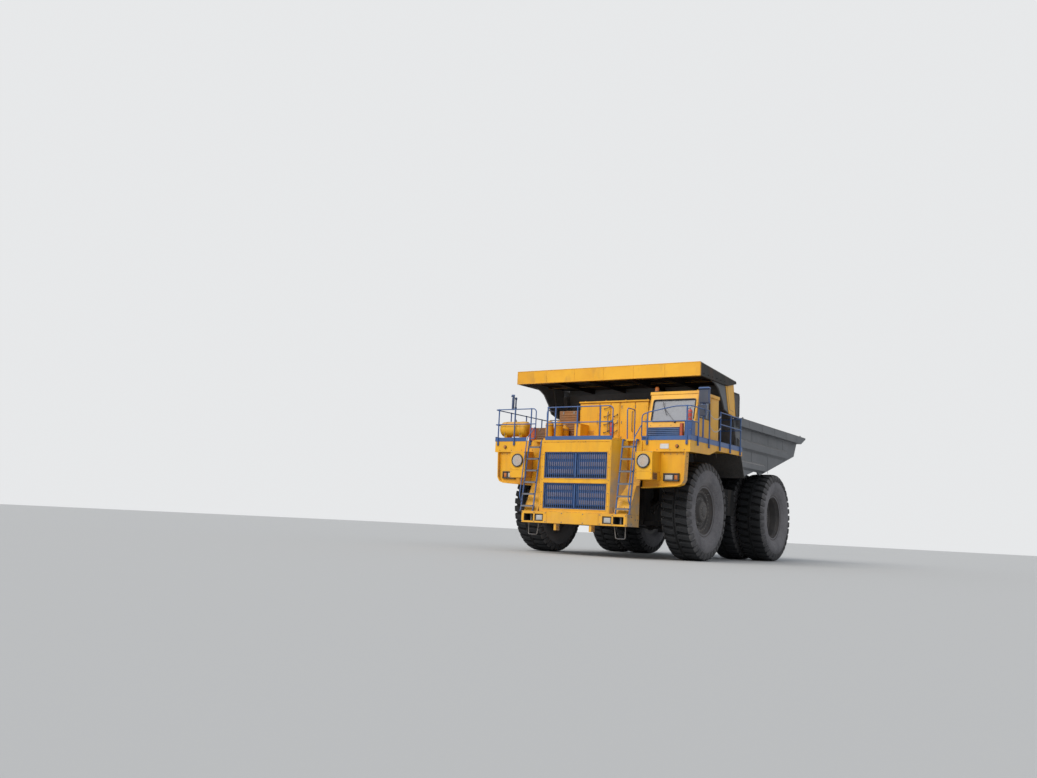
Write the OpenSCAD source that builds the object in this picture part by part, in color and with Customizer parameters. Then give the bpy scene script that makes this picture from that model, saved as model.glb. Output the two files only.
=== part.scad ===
// Rigid mining dump truck, standing empty with its body down.
// X points to the truck's left, Y to its rear and Z up. The origin is on the ground
// under the middle. Inside the modules, Y is measured from the front axle.

/* [Overall] */
// Distance between the front and rear axles
wheelbase = 5300; // [5100:10:5600]
// Front bumper ahead of the front axle
front_overhang = 2830; // [2780:10:2950]
// Tail of the dump body behind the rear axle
rear_overhang = 3330; // [3200:10:3500]

/* [Wheels] */
// Radius of a tyre at its lug tips
tyre_r = 1480; // [1400:5:1500]
// Width of a tyre
tyre_w = 930; // [850:5:940]
// Outer face of the front tyres from the middle
front_tyre_face = 3060; // [3000:5:3120]
// Outer face of the rear tyres from the middle
rear_tyre_face = 3300; // [3260:5:3340]
// Gap between the two tyres of a rear pair
twin_gap = 90; // [60:5:120]
// Radius of the rim flanges
rim_flange_r = 780; // [740:5:820]
// Radius of the rim where the beads sit
rim_seat_r = 690; // [660:5:700]
// Width of a rim between its flanges
rim_w = 660; // [600:10:700]
// Thickness of the rim barrel
rim_wall = 40; // [20:5:60]
// Lugs around each shoulder of a tyre
lug_count = 24; // [20:1:36]
// Depth of the grooves between the lugs
lug_depth = 70; // [40:5:90]
// Half width of the plain rib in the middle of the tread
rib_half = 120; // [80:5:160]

/* [Steering] */
// Kingpin axis from the middle
kingpin_x = 1850; // [1800:5:1880]
// Radius of a front spindle
spindle_r = 150; // [120:5:180]
// Radius of a kingpin's upper rod
strut_rod_r = 100; // [80:5:120]
// Radius of a front suspension cylinder
strut_r = 150; // [140:5:170]
// Length of a steering arm behind the kingpin
steer_arm = 500; // [440:10:520]

/* [Frame] */
// Half width of the front bumper
bumper_half = 1800; // [1760:5:1830]
// Underside of the front bumper
bumper_low = 900; // [880:10:940]
// Top of the front bumper
bumper_top = 1240; // [1200:10:1260]
// Inner face of a frame rail from the middle
rail_in = 520; // [480:5:540]
// Outer face of a frame rail from the middle
rail_out = 780; // [760:5:800]
// Underside of the frame at the front
frame_low = 1000; // [960:10:1040]
// Top of the frame at the front
frame_top = 1560; // [1500:10:1600]
// Top of the frame under the dump body
saddle_z = 2420; // [2380:5:2440]

// Radius of the front tow pin bores
tow_front_r = 40; // [30:1:50]
// Radius of the rear tow pin bore
tow_rear_r = 50; // [40:1:60]

/* [Dump body] */
// Reach of the top rails beyond the side plates
body_rail_out = 180; // [150:5:200]
// Half width over the side plates
body_plate = 3020; // [2980:5:3060]
// Thickness of the side plates
body_wall = 70; // [40:5:90]
// Top of the side rails
body_top = 4550; // [4450:10:4650]
// Depth of the side rails
body_rail_h = 260; // [200:10:300]
// Underside of the floor at its front end
floor_low = 2740; // [2720:5:2780]
// Rise of the floor for each metre towards the tail
floor_rise = 247; // [235:1:255]
// Thickness of the floor
floor_t = 90; // [60:5:120]
// Body hinge behind the rear axle
pivot_back = 1200; // [1150:10:1250]
// Height of the body hinge
pivot_z = 2300; // [2280:5:2320]
// Radius of the body hinge pins
pivot_r = 75; // [60:5:90]
// Top of the canopy lip
canopy_top = 5820; // [5750:10:5900]
// Underside of the canopy
canopy_low = 5400; // [5380:10:5450]
// Reach of the canopy beyond the top rails
canopy_out = 45; // [20:5:60]
// Canopy front edge ahead of the front axle
canopy_front = 1290; // [1200:10:1350]

/* [Hoists] */
// Hoist cylinders from the middle
hoist_x = 1050; // [1030:5:1080]
// Radius of a hoist barrel
hoist_r = 120; // [105:5:125]
// Radius of a hoist rod
rod_r = 75; // [60:1:85]
// Lower hoist pins ahead of the rear axle
hoist_low_ahead = 700; // [680:5:720]
// Height of the lower hoist pins
hoist_low_z = 1050; // [1030:5:1070]
// Upper hoist pins ahead of the rear axle
hoist_up_ahead = 850; // [830:5:870]
// Height of the upper hoist pins
hoist_up_z = 2950; // [2930:5:2960]

/* [Deck and hood] */
// Top of the deck
deck_z = 3440; // [3420:5:3470]
// Thickness of the deck plate
deck_t = 60; // [40:5:80]
// Half width of the deck
deck_half = 3380; // [3350:5:3400]
// Height of the yellow deck edges at the front
fascia_h = 360; // [300:10:380]
// Front edge of the deck's wings ahead of the front axle
wing_front = 2150; // [2100:10:2200]
// Rear edge of the deck behind the front axle
deck_back = 1770; // [1700:10:1800]
// Half width of the radiator front
hood_half = 1200; // [1150:10:1220]
// Half width of the grille openings
grille_half = 1074; // [1000:2:1100]
// Width between two grille slats, middle to middle
slat_pitch = 72; // [60:2:90]
// Radius of the headlamps
headlamp_r = 200; // [180:5:210]
// Headlamps from the middle
headlamp_x = 2165; // [2150:5:2180]
// Height of the railings over the deck
rail_h = 970; // [900:10:1050]
// Height of the toe boards
toe_h = 130; // [100:5:160]
// Radius of the railing tubes
tube_r = 21; // [15:1:25]

/* [Cab] */
// Inner side of the cab from the middle
cab_in = 1620; // [1600:5:1640]
// Outer side of the cab from the middle
cab_out = 3170; // [3150:5:3190]
// Height of the cab
cab_h = 1540; // [1450:10:1560]
// Thickness of the cab's walls
cab_wall = 60; // [40:5:80]
// Front of the cab ahead of the front axle, at the deck
cab_front = 1520; // [1480:10:1560]
// Length of the cab at the deck
cab_len = 1850; // [1750:10:1900]

/* [Hidden] */
$fn = 64;

yellow = "#e0a010";
blue = "#2c4a80";
dark = "#3a3835";
steel = "#8a8680";
glass = "#9fb4bf";
rubber = "#2a2826";
grey = "#8d8a82";
red = "#c03020";

overall = front_overhang + wheelbase + rear_overhang;
front_axle_y = front_overhang - overall / 2;
nose = -front_overhang;
axle_z = tyre_r;
arch_front = -2080;  // ahead of this, nothing meets the steered front wheels
pivot_y = wheelbase + pivot_back;
rail_tail = pivot_y + 200;
link_y = wheelbase - 1850;  // front end of the rear axle's frame
hoist_low_y = wheelbase - hoist_low_ahead;
hoist_up_y = wheelbase - hoist_up_ahead;
body_half = body_plate + body_rail_out;
canopy_half = body_half + canopy_out;
tower_z = 2620;  // top of the front suspension towers
deck_low = deck_z - deck_t;
fascia_low = deck_z - fascia_h;
wing_in = 1780;  // inner ends of the deck's wings
cab_rear = cab_len - cab_front;
fit = 0.08;    // radial clearance of a pin or bearing
seat = 0.3;    // gap between curved faces of one body
run = 10;      // gap beside a turning piece

// Everything is placed from the front axle
module placed() translate([0, front_axle_y, 0]) children();

module pair() { children(); mirror([1, 0, 0]) children(); }

// A block between two corners
module block(a, b) translate(a) cube(b - a);

// An outline of [y, z] points, made solid from x0 to x1
module side_plate(x0, x1, pts) translate([x0, 0, 0]) rotate([90, 0, 90])
    linear_extrude(x1 - x0) polygon(pts);

// An outline of [x, z] points, made solid from y0 to y1
module front_plate(y0, y1, pts) translate([0, y1, 0]) rotate([90, 0, 0])
    linear_extrude(y1 - y0) polygon(pts);

// An outline of [x, y] points, made solid from z0 to z1
module top_plate(z0, z1, pts) translate([0, 0, z0]) linear_extrude(z1 - z0) polygon(pts);

// A round bar along X from x0 to x1 at y, z
module bar_x(x0, x1, y, z, r) translate([x0, y, z]) rotate([0, 90, 0]) cylinder(h = x1 - x0, r = r);

// A tube between two points, its facets turned about its own axis
module tube(p, q, r = tube_r, turn = 0) {
    d = q - p;
    translate(p) rotate([0, acos(d[2] / norm(d)), atan2(d[1], d[0])]) rotate(turn)
        cylinder(h = norm(d), r = r, $fn = 8);
}

// A tube through a row of points: its lengths are turned apart, so that no facets coincide
module bent_tube(pts, r = 0.8 * tube_r) for (i = [1:len(pts) - 1])
    tube(pts[i - 1], pts[i], r, 6 + 13 * (i % 2));

// Frame

module chassis_frame() color(dark) placed() pair() {
    side_plate(rail_in, rail_out, [
        [-2480, frame_low], [1200, frame_low], [wheelbase - 1800, 1950], [wheelbase - 900, 2060],
        [rail_tail, 2060], [rail_tail, saddle_z], [wheelbase - 2100, saddle_z],
        [wheelbase - 2600, 2300], [700, frame_top], [-2480, frame_top]]);
    // Posts that carry the rear of the deck
    block([rail_out - 200, 1300, 1700], [rail_out, 1500, deck_low]);
    // Hangers of the axle's front frame and of the hoists
    block([rail_in, link_y - 300, frame_low], [rail_out, link_y, 1900]);
    side_plate(rail_in, rail_out, [[hoist_low_y - 250, 2080], [hoist_low_y - 120, hoist_low_z - 260],
        [hoist_low_y + 120, hoist_low_z - 260], [hoist_low_y + 250, 2080]]);
    bar_x(rail_out, hoist_x + 100, hoist_low_y, hoist_low_z, 60);
    // Body hinge pin
    bar_x(rail_in, rail_out + 140, pivot_y, pivot_z, pivot_r);
    // Upper pin of the rear suspension cylinder
    bar_x(rail_out, 1150, wheelbase + 800, 2200, 45);
}

// Cross members between the rails: front, rear, underside, top
cross_table = [
    [-2480, -2200, frame_low, frame_top],
    [-220, 220, frame_low, frame_top - 260],
    [link_y - 300, link_y, frame_low, frame_low + 280],
    [hoist_low_y - 120, hoist_low_y + 120, hoist_low_z - 260, hoist_low_z - 60]
];

module cross_members() color(dark) placed() {
    for (m = cross_table) block([-rail_in, m[0], m[2]], [rail_in, m[1], m[3]]);
    // Rear cross member with its tow lug
    difference() {
        union() {
            block([-rail_in, pivot_y - 250, 2060], [rail_in, rail_tail, saddle_z]);
            block([-60, rail_tail - 10, 2100], [60, rail_tail + 180, 2380]);
        }
        bar_x(-100, 100, rail_tail + 90, 2240, tow_rear_r);
    }
}

// Towers and arms of the front suspension, with the posts that carry the deck
module front_towers() color(dark) placed() pair() difference() {
    union() {
        block([rail_out, -240, frame_low], [rail_out + 220, 240, tower_z]);
        block([rail_out + 30, -200, tower_z], [rail_out + 200, 200, deck_low]);
        block([rail_out + 220, -170, tower_z - 320], [kingpin_x, 170, tower_z]);
        translate([kingpin_x, 0, tower_z - 320]) cylinder(h = 320, r = strut_r + 70);
        block([rail_out + 220, -150, frame_low], [kingpin_x, 150, frame_low + 130]);
        translate([kingpin_x, 0, frame_low]) cylinder(h = 130, r = 170);
    }
    translate([kingpin_x, 0, 2200]) cylinder(h = 500, r = strut_r + seat);
    translate([kingpin_x, 0, frame_low - 50]) cylinder(h = 300, r = 80 + fit);
}

lamp_z = [950, 1165];  // lowest and highest of the bumper's lamps and openings

module front_bumper() color(yellow) placed() {
    cheek = 60;
    difference() {
        union() {
            top_plate(bumper_low, bumper_top, [[30 - bumper_half, nose], [bumper_half - 30, nose],
                [bumper_half, nose + 30], [bumper_half, arch_front], [bumper_half - cheek, arch_front],
                [bumper_half - cheek, nose + 350], [cheek - bumper_half, nose + 350],
                [cheek - bumper_half, arch_front], [-bumper_half, arch_front], [-bumper_half, nose + 30]]);
            // Tow lugs
            pair() block([560, nose + 40, bumper_low - 200], [640, nose + 240, bumper_low + 10]);
        }
        // Pockets of the lamps, openings at the ends and bores for the tow pins
        pair() {
            block([1010, nose - 10, lamp_z[0]], [1310, nose + 80, lamp_z[1]]);
            block([1360, nose - 10, lamp_z[0]], [1700, nose + 300, lamp_z[1]]);
            bar_x(500, 700, nose + 140, bumper_low - 110, tow_front_r);
        }
    }
}

module engine_block() color(dark) placed() block([-640, -2100, frame_top], [640, -320, 2900]);

module driveline() color(dark) placed() {
    block([-380, -320, frame_top - 260], [380, 1500, 1950]);
    translate([0, 1500, 1500]) rotate([-90, 0, 0]) cylinder(h = wheelbase - 1500 - 420, r = 90);
}

// Rows of the grille: bottom, top
grille_rows = [[bumper_top + 100, 2100], [2240, 3020]];
grille_front = nose + 85;

module radiator_shell() color(yellow) placed() {
    face = nose + 60;
    difference() {
        union() {
            top_plate(bumper_top, frame_top, [[-hood_half, face], [hood_half, face], [hood_half + 130, -2480],
                [-hood_half - 130, -2480]]);
            top_plate(frame_top, deck_low, [[-hood_half, face], [hood_half, face], [hood_half + 130, -2480],
                [hood_half + 280, -2300], [hood_half + 280, -2180], [-hood_half - 280, -2180],
                [-hood_half - 280, -2300], [-hood_half - 130, -2480]]);
        }
        for (row = grille_rows) block([-grille_half, face - 10, row[0]], [grille_half, -2350, row[1]]);
        block([-grille_half - 26, -2350, frame_top], [grille_half + 26, -2100, 3100]);
        // Groove under the brow
        block([-hood_half + 60, face - 10, deck_low - 75], [hood_half - 60, face + 12, deck_low - 55]);
    }
    pair() {
        // Sheets behind the ladders, bent back as they rise, and the cheeks at their outer edges
        side_plate(hood_half + 100, bumper_half, [[-2700, bumper_top], [-2300, 2060], [-2290, 2090],
            [-2250, 2090], [-2260, 2050], [-2655, bumper_top]]);
        side_plate(hood_half + 100, bumper_half + 80, [[-2290, 2090], [-2200, 2320], [-2180, deck_low],
            [-wing_front, deck_low], [-2160, 2310], [-2250, 2080]]);
        side_plate(bumper_half - 50, bumper_half, [[-2700, bumper_top], [-2300, 2060], [-2270, 2110],
            [arch_front, 2110], [arch_front, bumper_top]]);
    }
}

// Upright slats in front of level shutter blades
module grille() color(blue) placed() for (row = grille_rows) {
    slats = floor((2 * grille_half - 60) / slat_pitch);
    blades = floor((row[1] - row[0] - 60) / 90);
    for (z = [row[0], row[1] - 30])
        block([-grille_half, grille_front, z], [grille_half, grille_front + 30, z + 30]);
    for (x = [-grille_half, -15, grille_half - 30])
        block([x, grille_front, row[0]], [x + 30, grille_front + 60, row[1]]);
    for (i = [1:slats - 1]) {
        x = (i - slats / 2) * slat_pitch;
        block([x - 9, grille_front, row[0]], [x + 9, grille_front + 30, row[1]]);
    }
    for (i = [1:blades])
        translate([-grille_half, grille_front + 30, row[0] + i * 90]) cube([2 * grille_half, 30, 40]);
}

lamp_box = [1890, 2440];  // sides of the boxes that hold the headlamps
lamp_face = -2620;
headlamp_z = 2780;

module front_fenders() color(yellow) placed() pair() {
    // Sheet ahead of the wheel, with a flange round its foot and outer side
    front_plate(arch_front, arch_front + 40, [[1880, 2060], [2990, 2130], [3120, 2180], [3190, 2290],
        [3225, fascia_low], [3225, deck_low], [1880, deck_low]]);
    front_plate(arch_front - 100, -1950, [[1880, 2030], [2990, 2100], [3140, 2150], [3220, 2280],
        [3255, fascia_low], [3225, fascia_low], [3190, 2290],
        [3120, 2180], [2990, 2130], [1880, 2060]]);
    // Box of the headlamp
    side_plate(lamp_box[0], lamp_box[1], [[lamp_face, 2250], [arch_front, 2250], [arch_front, fascia_low],
        [lamp_face + 60, fascia_low - 20], [lamp_face, fascia_low - 40]]);
}

module headlamps() color("white") placed() pair() translate([headlamp_x, lamp_face, headlamp_z])
    rotate([90, 0, 0]) difference() {
        cylinder(h = 45, r = headlamp_r);
        translate([0, 0, 15]) cylinder(h = 40, r1 = headlamp_r - 60, r2 = headlamp_r - 25);
    }

module marker_lamps() color("orange") placed() pair() {
    // Frames with a lamp and an indicator on the fenders
    difference() {
        block([2560, arch_front - 45, 2240], [3050, arch_front, 2470]);
        block([2590, arch_front - 55, 2265], [2870, arch_front - 30, 2445]);
        block([2885, arch_front - 55, 2265], [3025, arch_front - 30, 2445]);
    }
    // Lamps of the bumper
    block([1025, nose + 15, lamp_z[0] + 12], [1295, nose + 80, lamp_z[1] - 12]);
}

// Deck

gap_edge = -2330;  // edge of the deck between the ladder and the wing

module deck() color(yellow) placed() {
    top_plate(deck_low, deck_z, [[-deck_half, -wing_front], [-wing_in, -wing_front], [-wing_in, gap_edge],
        [-hood_half - 162, gap_edge], [-hood_half, -2700], [hood_half, -2700], [hood_half + 162, gap_edge],
        [wing_in, gap_edge], [wing_in, -wing_front], [deck_half, -wing_front], [deck_half, deck_back], [cab_in, deck_back],
        [cab_in, 600], [-cab_in, 600], [-cab_in, deck_back], [-deck_half, deck_back]]);
    pair() {
        // Deep front edge, and a side edge that steps up behind the cab's middle
        block([wing_in, -wing_front, fascia_low], [deck_half, 40 - wing_front, deck_low]);
        side_plate(deck_half - 40, deck_half, [[-wing_front, fascia_low], [-780, fascia_low + 30],
            [-250, deck_z - 170], [deck_back, deck_z - 150], [deck_back, deck_low], [-wing_front, deck_low]]);
    }
}

rail_y = -wing_front - tube_r - 4;  // front railings, just off the front edge
rail_x = deck_half + tube_r + 4;    // side railings, just off the side edge
rail_top = deck_z + rail_h;
rail_mid = deck_z + 520;

// Posts on the front edge: place across, height over the left wing's rail
front_posts = [[2030, -190], [3270, 0], [-2030, 50], [-2650, 50], [-3270, 50]];

// Posts on the side edges: side, place along, height over the left wing's rail
side_posts = [[1, -1680, 0], [1, -890, 0], [1, -70, 60], [1, 740, 60], [1, 1560, 60],
    [-1, -1300, 50], [-1, -400, 50], [-1, 560, 50], [-1, 1560, 50]];

// Posts on the deck: place across and along, height over the left wing's rail
deck_posts = [[2500, 1700, 60], [-2500, 1700, 50], [-1100, -2660, 0], [-820, -2660, 0], [-50, -2660, 0],
    [730, -2660, 0]];

// Sections of railing, a saw cut apart at the corners of the deck
module railings() color(blue) placed() difference() {
    railing_tubes();
    pair() {
        block([rail_x - 41, rail_y - 60, deck_z + 10], [rail_x - 40, rail_y + 60, rail_top + 90]);
        block([rail_x - 101, 1600, deck_z + 10], [rail_x - 100, 1760, rail_top + 90]);
    }
}

module railing_tubes() {
    for (p = front_posts) {
        tube([p[0], rail_y, deck_z - 150], [p[0], rail_y, rail_top + p[1]]);
        translate([p[0], rail_y - 2, deck_z - 90]) cube([60, 46, 120], center = true);
    }
    for (p = side_posts) {
        tube([p[0] * rail_x, p[1], deck_z - 150], [p[0] * rail_x, p[1], rail_top + p[2]]);
        translate([p[0] * (rail_x + 2), p[1], deck_z - 85]) cube([46, 60, 110], center = true);
    }
    for (p = deck_posts) tube([p[0], p[1], deck_z], [p[0], p[1], rail_top + p[2]]);
    // Left wing, with a loop at its inner end
    bent_tube([[2060, rail_y, deck_z + 60], [1880, rail_y, deck_z + 60], [1850, rail_y, deck_z + 120],
        [1850, rail_y, deck_z + 640], [1890, rail_y, deck_z + 730], [2060, rail_y, deck_z + 795],
        [2900, rail_y, rail_top - 20], [rail_x, rail_y, rail_top - 20], [rail_x, -890, rail_top - 20]]);
    bent_tube([[1850, rail_y, rail_mid], [rail_x, rail_y, rail_mid], [rail_x, -1680, rail_mid]]);
    // Cage behind the cab
    bent_tube([[rail_x, -70, rail_top + 40], [rail_x, 1660, rail_top + 40], [rail_x - 60, 1700, rail_top + 40],
        [1700, 1700, rail_top + 40], [1700, 1700, deck_z]]);
    bent_tube([[rail_x, -70, rail_mid + 130], [rail_x, 1660, rail_mid + 130],
        [rail_x - 60, 1700, rail_mid + 130], [1700, 1700, rail_mid + 130]]);
    // Right wing and side
    bent_tube([[-2060, rail_y, deck_z + 60], [-1880, rail_y, deck_z + 60], [-1850, rail_y, deck_z + 120],
        [-1850, rail_y, rail_top - 60], [-1920, rail_y, rail_top + 30], [-rail_x, rail_y, rail_top + 30],
        [-rail_x, 1700, rail_top + 30], [-2500, 1700, rail_top + 30]]);
    bent_tube([[-1850, rail_y, rail_mid], [-rail_x, rail_y, rail_mid], [-rail_x, 1700, rail_mid],
        [-2500, 1700, rail_mid]]);
    // Centre
    bent_tube([[-1120, -2660, rail_top - 20], [1060, -2660, rail_top - 20], [1130, -2660, rail_top - 60],
        [1150, -2660, rail_top - 140], [1150, -2660, deck_z]]);
    bent_tube([[-1120, -2660, rail_mid - 40], [1150, -2660, rail_mid - 40]]);
    // Toe boards
    block([-hood_half + 70, -2710, deck_z - 50], [hood_half - 20, -2700, deck_z + toe_h / 2]);
    block([wing_in + 60, -wing_front - 10, deck_z - 20], [deck_half - 1, -wing_front, deck_z + toe_h - 30]);
    block([1 - deck_half, -wing_front - 10, deck_z - 20], [-2200, -wing_front, deck_z + toe_h - 30]);
    pair() block([deck_half, -wing_front - 10, deck_z - 20], [deck_half + 10, deck_back, deck_z + toe_h]);
}

ladder_x = [1410, 1852];  // the two stiles

module ladders() color(blue) placed() pair() {
    foot = [0, nose + 45, bumper_top];
    head = [0, -2470, deck_low + 20];
    climb = head - foot;
    treads = 6;
    for (x = ladder_x) {
        tube(foot + [x, 0, 15], head + [x, 0, 0], 26);
        block([x - 30, foot[1] - 35, bumper_top], [x + 30, foot[1] + 45, bumper_top + 25]);
        block([x - 8, head[1], head[2] - 20], [x + 8, gap_edge, head[2] + 20]);
    }
    for (i = [0:treads - 1]) {
        p = foot + climb * (i + 0.45) / treads;
        block(p + [ladder_x[0], -70, -14], p + [ladder_x[1], 60, 14]);
    }
    // Hand rail on the outer side, up to the loop of the wing's railing
    bent_tube([foot + climb * 0.12 + [ladder_x[1], 0, 0], foot + climb * 0.2 + [ladder_x[1], -170, 0],
        head + [ladder_x[1], -150, 60], [ladder_x[1], rail_y - 45, deck_z + 400]], 17);
    block([ladder_x[1] - 17, rail_y - 60, deck_z + 380], [ladder_x[1] + 17, rail_y - 0.8 * tube_r, deck_z + 420]);
    // Hand rail on the deck at the inner side
    bent_tube([[ladder_x[0] - 10, -2200, deck_z + 1], [ladder_x[0] - 10, -2240, deck_z + 850],
        [ladder_x[0] - 10, -2160, deck_z + 930], [ladder_x[0] - 10, -1800, deck_z + 930],
        [ladder_x[0] - 10, -1760, deck_z + 850], [ladder_x[0] - 10, -1760, deck_z + 0.5]], 17);
    // Stirrup under the bumper
    bent_tube([[1290, nose + 230, bumper_low - 3], [1350, nose + 230, 545], [1650, nose + 230, 545],
        [1650, nose + 230, bumper_low]], 13);
}

// On the deck

module front_louvre() color(blue) placed() {
    low = deck_z + 110;
    blade = 56;
    // Blades from a saw-toothed side, and a plain box beside them
    side_plate(cab_in + 220, 2870, concat([[-1800, deck_z], [-1800, low]],
        [for (i = [0:4], k = [0, 1]) [k == 0 ? -1800 : -1765, low + (i + (k == 0 ? 0.9 : 1)) * blade]],
        [[-1765, low + 5 * blade], [-1540, low + 5 * blade], [-1540, deck_z]]));
    block([3040, -1850, deck_z], [3280, -1600, deck_z + 560]);
}

// Fire extinguishers: x, y, foot, height; and red boxes: corners
bottles = [[1090, -2590, deck_z, 420], [3160, -1725, deck_z + 560, 280]];
red_boxes = [[[-2200, -2010, deck_z], [-1980, -1900, deck_z + 420]],
    [[2890, -1840, deck_z], [2985, -1740, deck_z + 500]]];

module fire_gear() color(red) placed() {
    for (b = bottles) translate([b[0], b[1], b[2]]) {
        cylinder(h = b[3], r = 60);
        cylinder(h = b[3] + 70, r = 25);
    }
    for (b = red_boxes) block(b[0], b[1]);
}

// Cab

module cab_profile(x0, x1, g) {
    top = deck_z + cab_h;
    side_plate(x0, x1, [[-cab_front + g, deck_z + g], [-cab_front + 400 + g, top - g],
        [cab_rear - g, top - g], [cab_rear - g, deck_z + g]]);
}

// Rear door: inner side, outer side, foot and top over the deck
door_x = [2340, 3030];
door_z = [120, 1420];

module cab_shell() color(yellow) placed() {
    wall = cab_wall + 10;
    difference() {
        union() {
            cab_profile(cab_in, cab_out, 0);
            // Roof edge standing proud
            side_plate(cab_in - 25, cab_out + 25, [[-cab_front + 360, deck_z + cab_h - 90],
                [-cab_front + 375, deck_z + cab_h], [cab_rear + 20, deck_z + cab_h],
                [cab_rear + 20, deck_z + cab_h - 90]]);
        }
        cab_profile(cab_in + cab_wall, cab_out - cab_wall, cab_wall);
        // Windscreen, side windows and door opening
        block([cab_in + 110, -cab_front - 50, deck_z + 610], [cab_out - 70, -cab_front + 700, deck_z + 1290]);
        for (x = [cab_in - 10, cab_out - cab_wall]) translate([x, 0, 0]) side_plate(0, wall,
            [[-1180, deck_z + 740], [-1030, deck_z + 1370], [-340, deck_z + 1370], [-340, deck_z + 740]]);
        block([door_x[0], cab_rear - wall, deck_z + door_z[0]], [door_x[1], cab_rear + 10, deck_z + door_z[1]]);
        block([cab_in + 180, cab_rear - wall, deck_z + 740], [door_x[0] - 110, cab_rear + 10, deck_z + 1310]);
    }
}

module cab_glass() color(glass) placed() {
    t = 12;
    intersection() {
        difference() {
            cab_profile(cab_in, cab_out, 24);
            cab_profile(cab_in - 10, cab_out + 10, 24 + t);
        }
        block([cab_in + 110, -cab_front, deck_z + 610], [cab_out - 70, -cab_front + 700, deck_z + 1290]);
    }
    block([cab_in + 180, cab_rear - 40, deck_z + 740], [door_x[0] - 110, cab_rear - 40 + t, deck_z + 1310]);
    for (x = [cab_in + 24, cab_out - 24 - t]) translate([x, 0, 0]) side_plate(0, t,
        [[-1180, deck_z + 740], [-1030, deck_z + 1370], [-340, deck_z + 1370], [-340, deck_z + 740]]);
}

module cab_seat() color(dark) placed() {
    x = (cab_in + cab_out) / 2 - 260;
    z = deck_z + cab_wall;
    block([x + 60, -560, z], [x + 460, -160, z + 300]);
    block([x, -620, z + 300], [x + 520, -120, z + 440]);
    block([x + 20, -120, z + 300], [x + 500, 20, z + 1050]);
}

module cab_controls() color(dark) placed() {
    x = (cab_in + cab_out) / 2;
    z = deck_z + cab_wall;
    block([cab_in + cab_wall, -1300, z], [cab_out - cab_wall, -1100, z + 500]);
    tube([x, -1150, z + 480], [x, -900, z + 640], 30);
    translate([x, -880, z + 650]) rotate([35, 0, 0]) rotate_extrude($fn = 12) translate([190, 0])
        circle(r = 16, $fn = 6);
}

module cab_door() color(yellow) placed() {
    gap = 8;
    difference() {
        union() {
            block([door_x[0] + gap, cab_rear - cab_wall, deck_z + door_z[0] + gap],
                [door_x[1] - gap, cab_rear, deck_z + door_z[1] - gap]);
            for (z = [300, 1150]) {
                block([door_x[1] - 60, cab_rear, deck_z + z], [door_x[1] + 10, cab_rear + 20, deck_z + z + 90]);
                translate([door_x[1] + 10, cab_rear + 22, deck_z + z]) cylinder(h = 90, r = 20);
            }
            // Handle
            block([door_x[0] + 60, cab_rear, deck_z + 560], [door_x[0] + 90, cab_rear + 50, deck_z + 760]);
        }
        block([door_x[0] + 110, cab_rear - cab_wall - 10, deck_z + 740],
            [door_x[1] - 110, cab_rear + 10, deck_z + 1310]);
    }
}

module door_glass() color(glass) placed()
    block([door_x[0] + 110, cab_rear - 36, deck_z + 740], [door_x[1] - 110, cab_rear - 24, deck_z + 1310]);

// Cabinets of the drive: left side, right side of each door
cabinet_doors = [[-940, -250], [-230, 150], [180, 470], [540, 1000], [1015, 1450]];

module equipment_cabinet() color(yellow) placed() {
    face = -980;
    block([-960, face, deck_z], [1470, -400, deck_z + 1300]);
    block([-980, face - 50, deck_z + 1300], [1490, -380, deck_z + 1335]);
    for (d = cabinet_doors) block([d[0], face - 20, deck_z + 40], [d[1], face, deck_z + 1270]);
    // Low box beside them
    block([-840, -1500, deck_z], [-620, face, deck_z + 580]);
}

tank_y = -1880;
tank_z = deck_z + 395;

module air_tank() color(yellow) placed() {
    bar_x(-3320, -2280, tank_y, tank_z, 240);
    for (x = [-3140, -2560]) block([x, tank_y - 80, deck_z], [x + 100, tank_y + 80, tank_z - 170]);
    // Filter canisters beside it
    for (x = [-1760, -1420], side = [0, 1]) translate([x, -1500 + side * 380, deck_z]) {
        cylinder(h = 620 - side * 100, r = 130);
        cylinder(h = 680 - side * 100, r = 60);
    }
}

module deck_boxes() color("#a05a20") placed() {
    block([-1740, -950, deck_z], [-1050, -300, deck_z + 1060]);
    block([-3000, -400, deck_z], [-2300, 500, deck_z + 600]);
}

mirror_y = -1180;

module mirrors() color(blue) placed() pair() {
    pole_x = deck_half - 50;
    tube([pole_x, mirror_y, deck_z], [pole_x, mirror_y, deck_z + 1540], 24);
    for (z = [1180, 1500]) tube([pole_x, mirror_y, deck_z + z], [pole_x, mirror_y - 60, deck_z + z], 16);
    // Housing under its hood
    difference() {
        translate([deck_half - 160, mirror_y - 110, deck_z + 1110]) cube([340, 60, 450]);
        translate([deck_half - 140, mirror_y - 70, deck_z + 1130]) cube([300, 30, 410]);
    }
    front_plate(mirror_y - 150, mirror_y - 40, [[deck_half - 175, deck_z + 1560], [deck_half + 195, deck_z + 1560],
        [deck_half + 160, deck_z + 1610], [deck_half - 140, deck_z + 1610]]);
}

module beacon() color("orange") placed()
    translate([cab_in + 110, -1000, deck_z + cab_h]) {
        cylinder(h = 40, r = 85);
        cylinder(h = 180, r = 62);
    }

// Beside the frame

// A tank with rounded long edges, from the frame rail out to x1
module side_tank(x1, low, high) {
    y0 = 2100;
    y1 = wheelbase - tyre_r - 200;
    r = 140;
    translate([rail_out, 0, 0]) rotate([90, 0, 90]) linear_extrude(x1 - rail_out) {
        translate([y0, low + r]) square([y1 - y0, high - low - 2 * r]);
        translate([y0 + r, low]) square([y1 - y0 - 2 * r, high - low]);
        for (y = [y0 + r, y1 - r], z = [low + r, high - r]) translate([y, z]) circle(r = r);
    }
}

module fuel_tank() color(dark) placed() mirror([1, 0, 0]) side_tank(2420, 1250, 2300);

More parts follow.
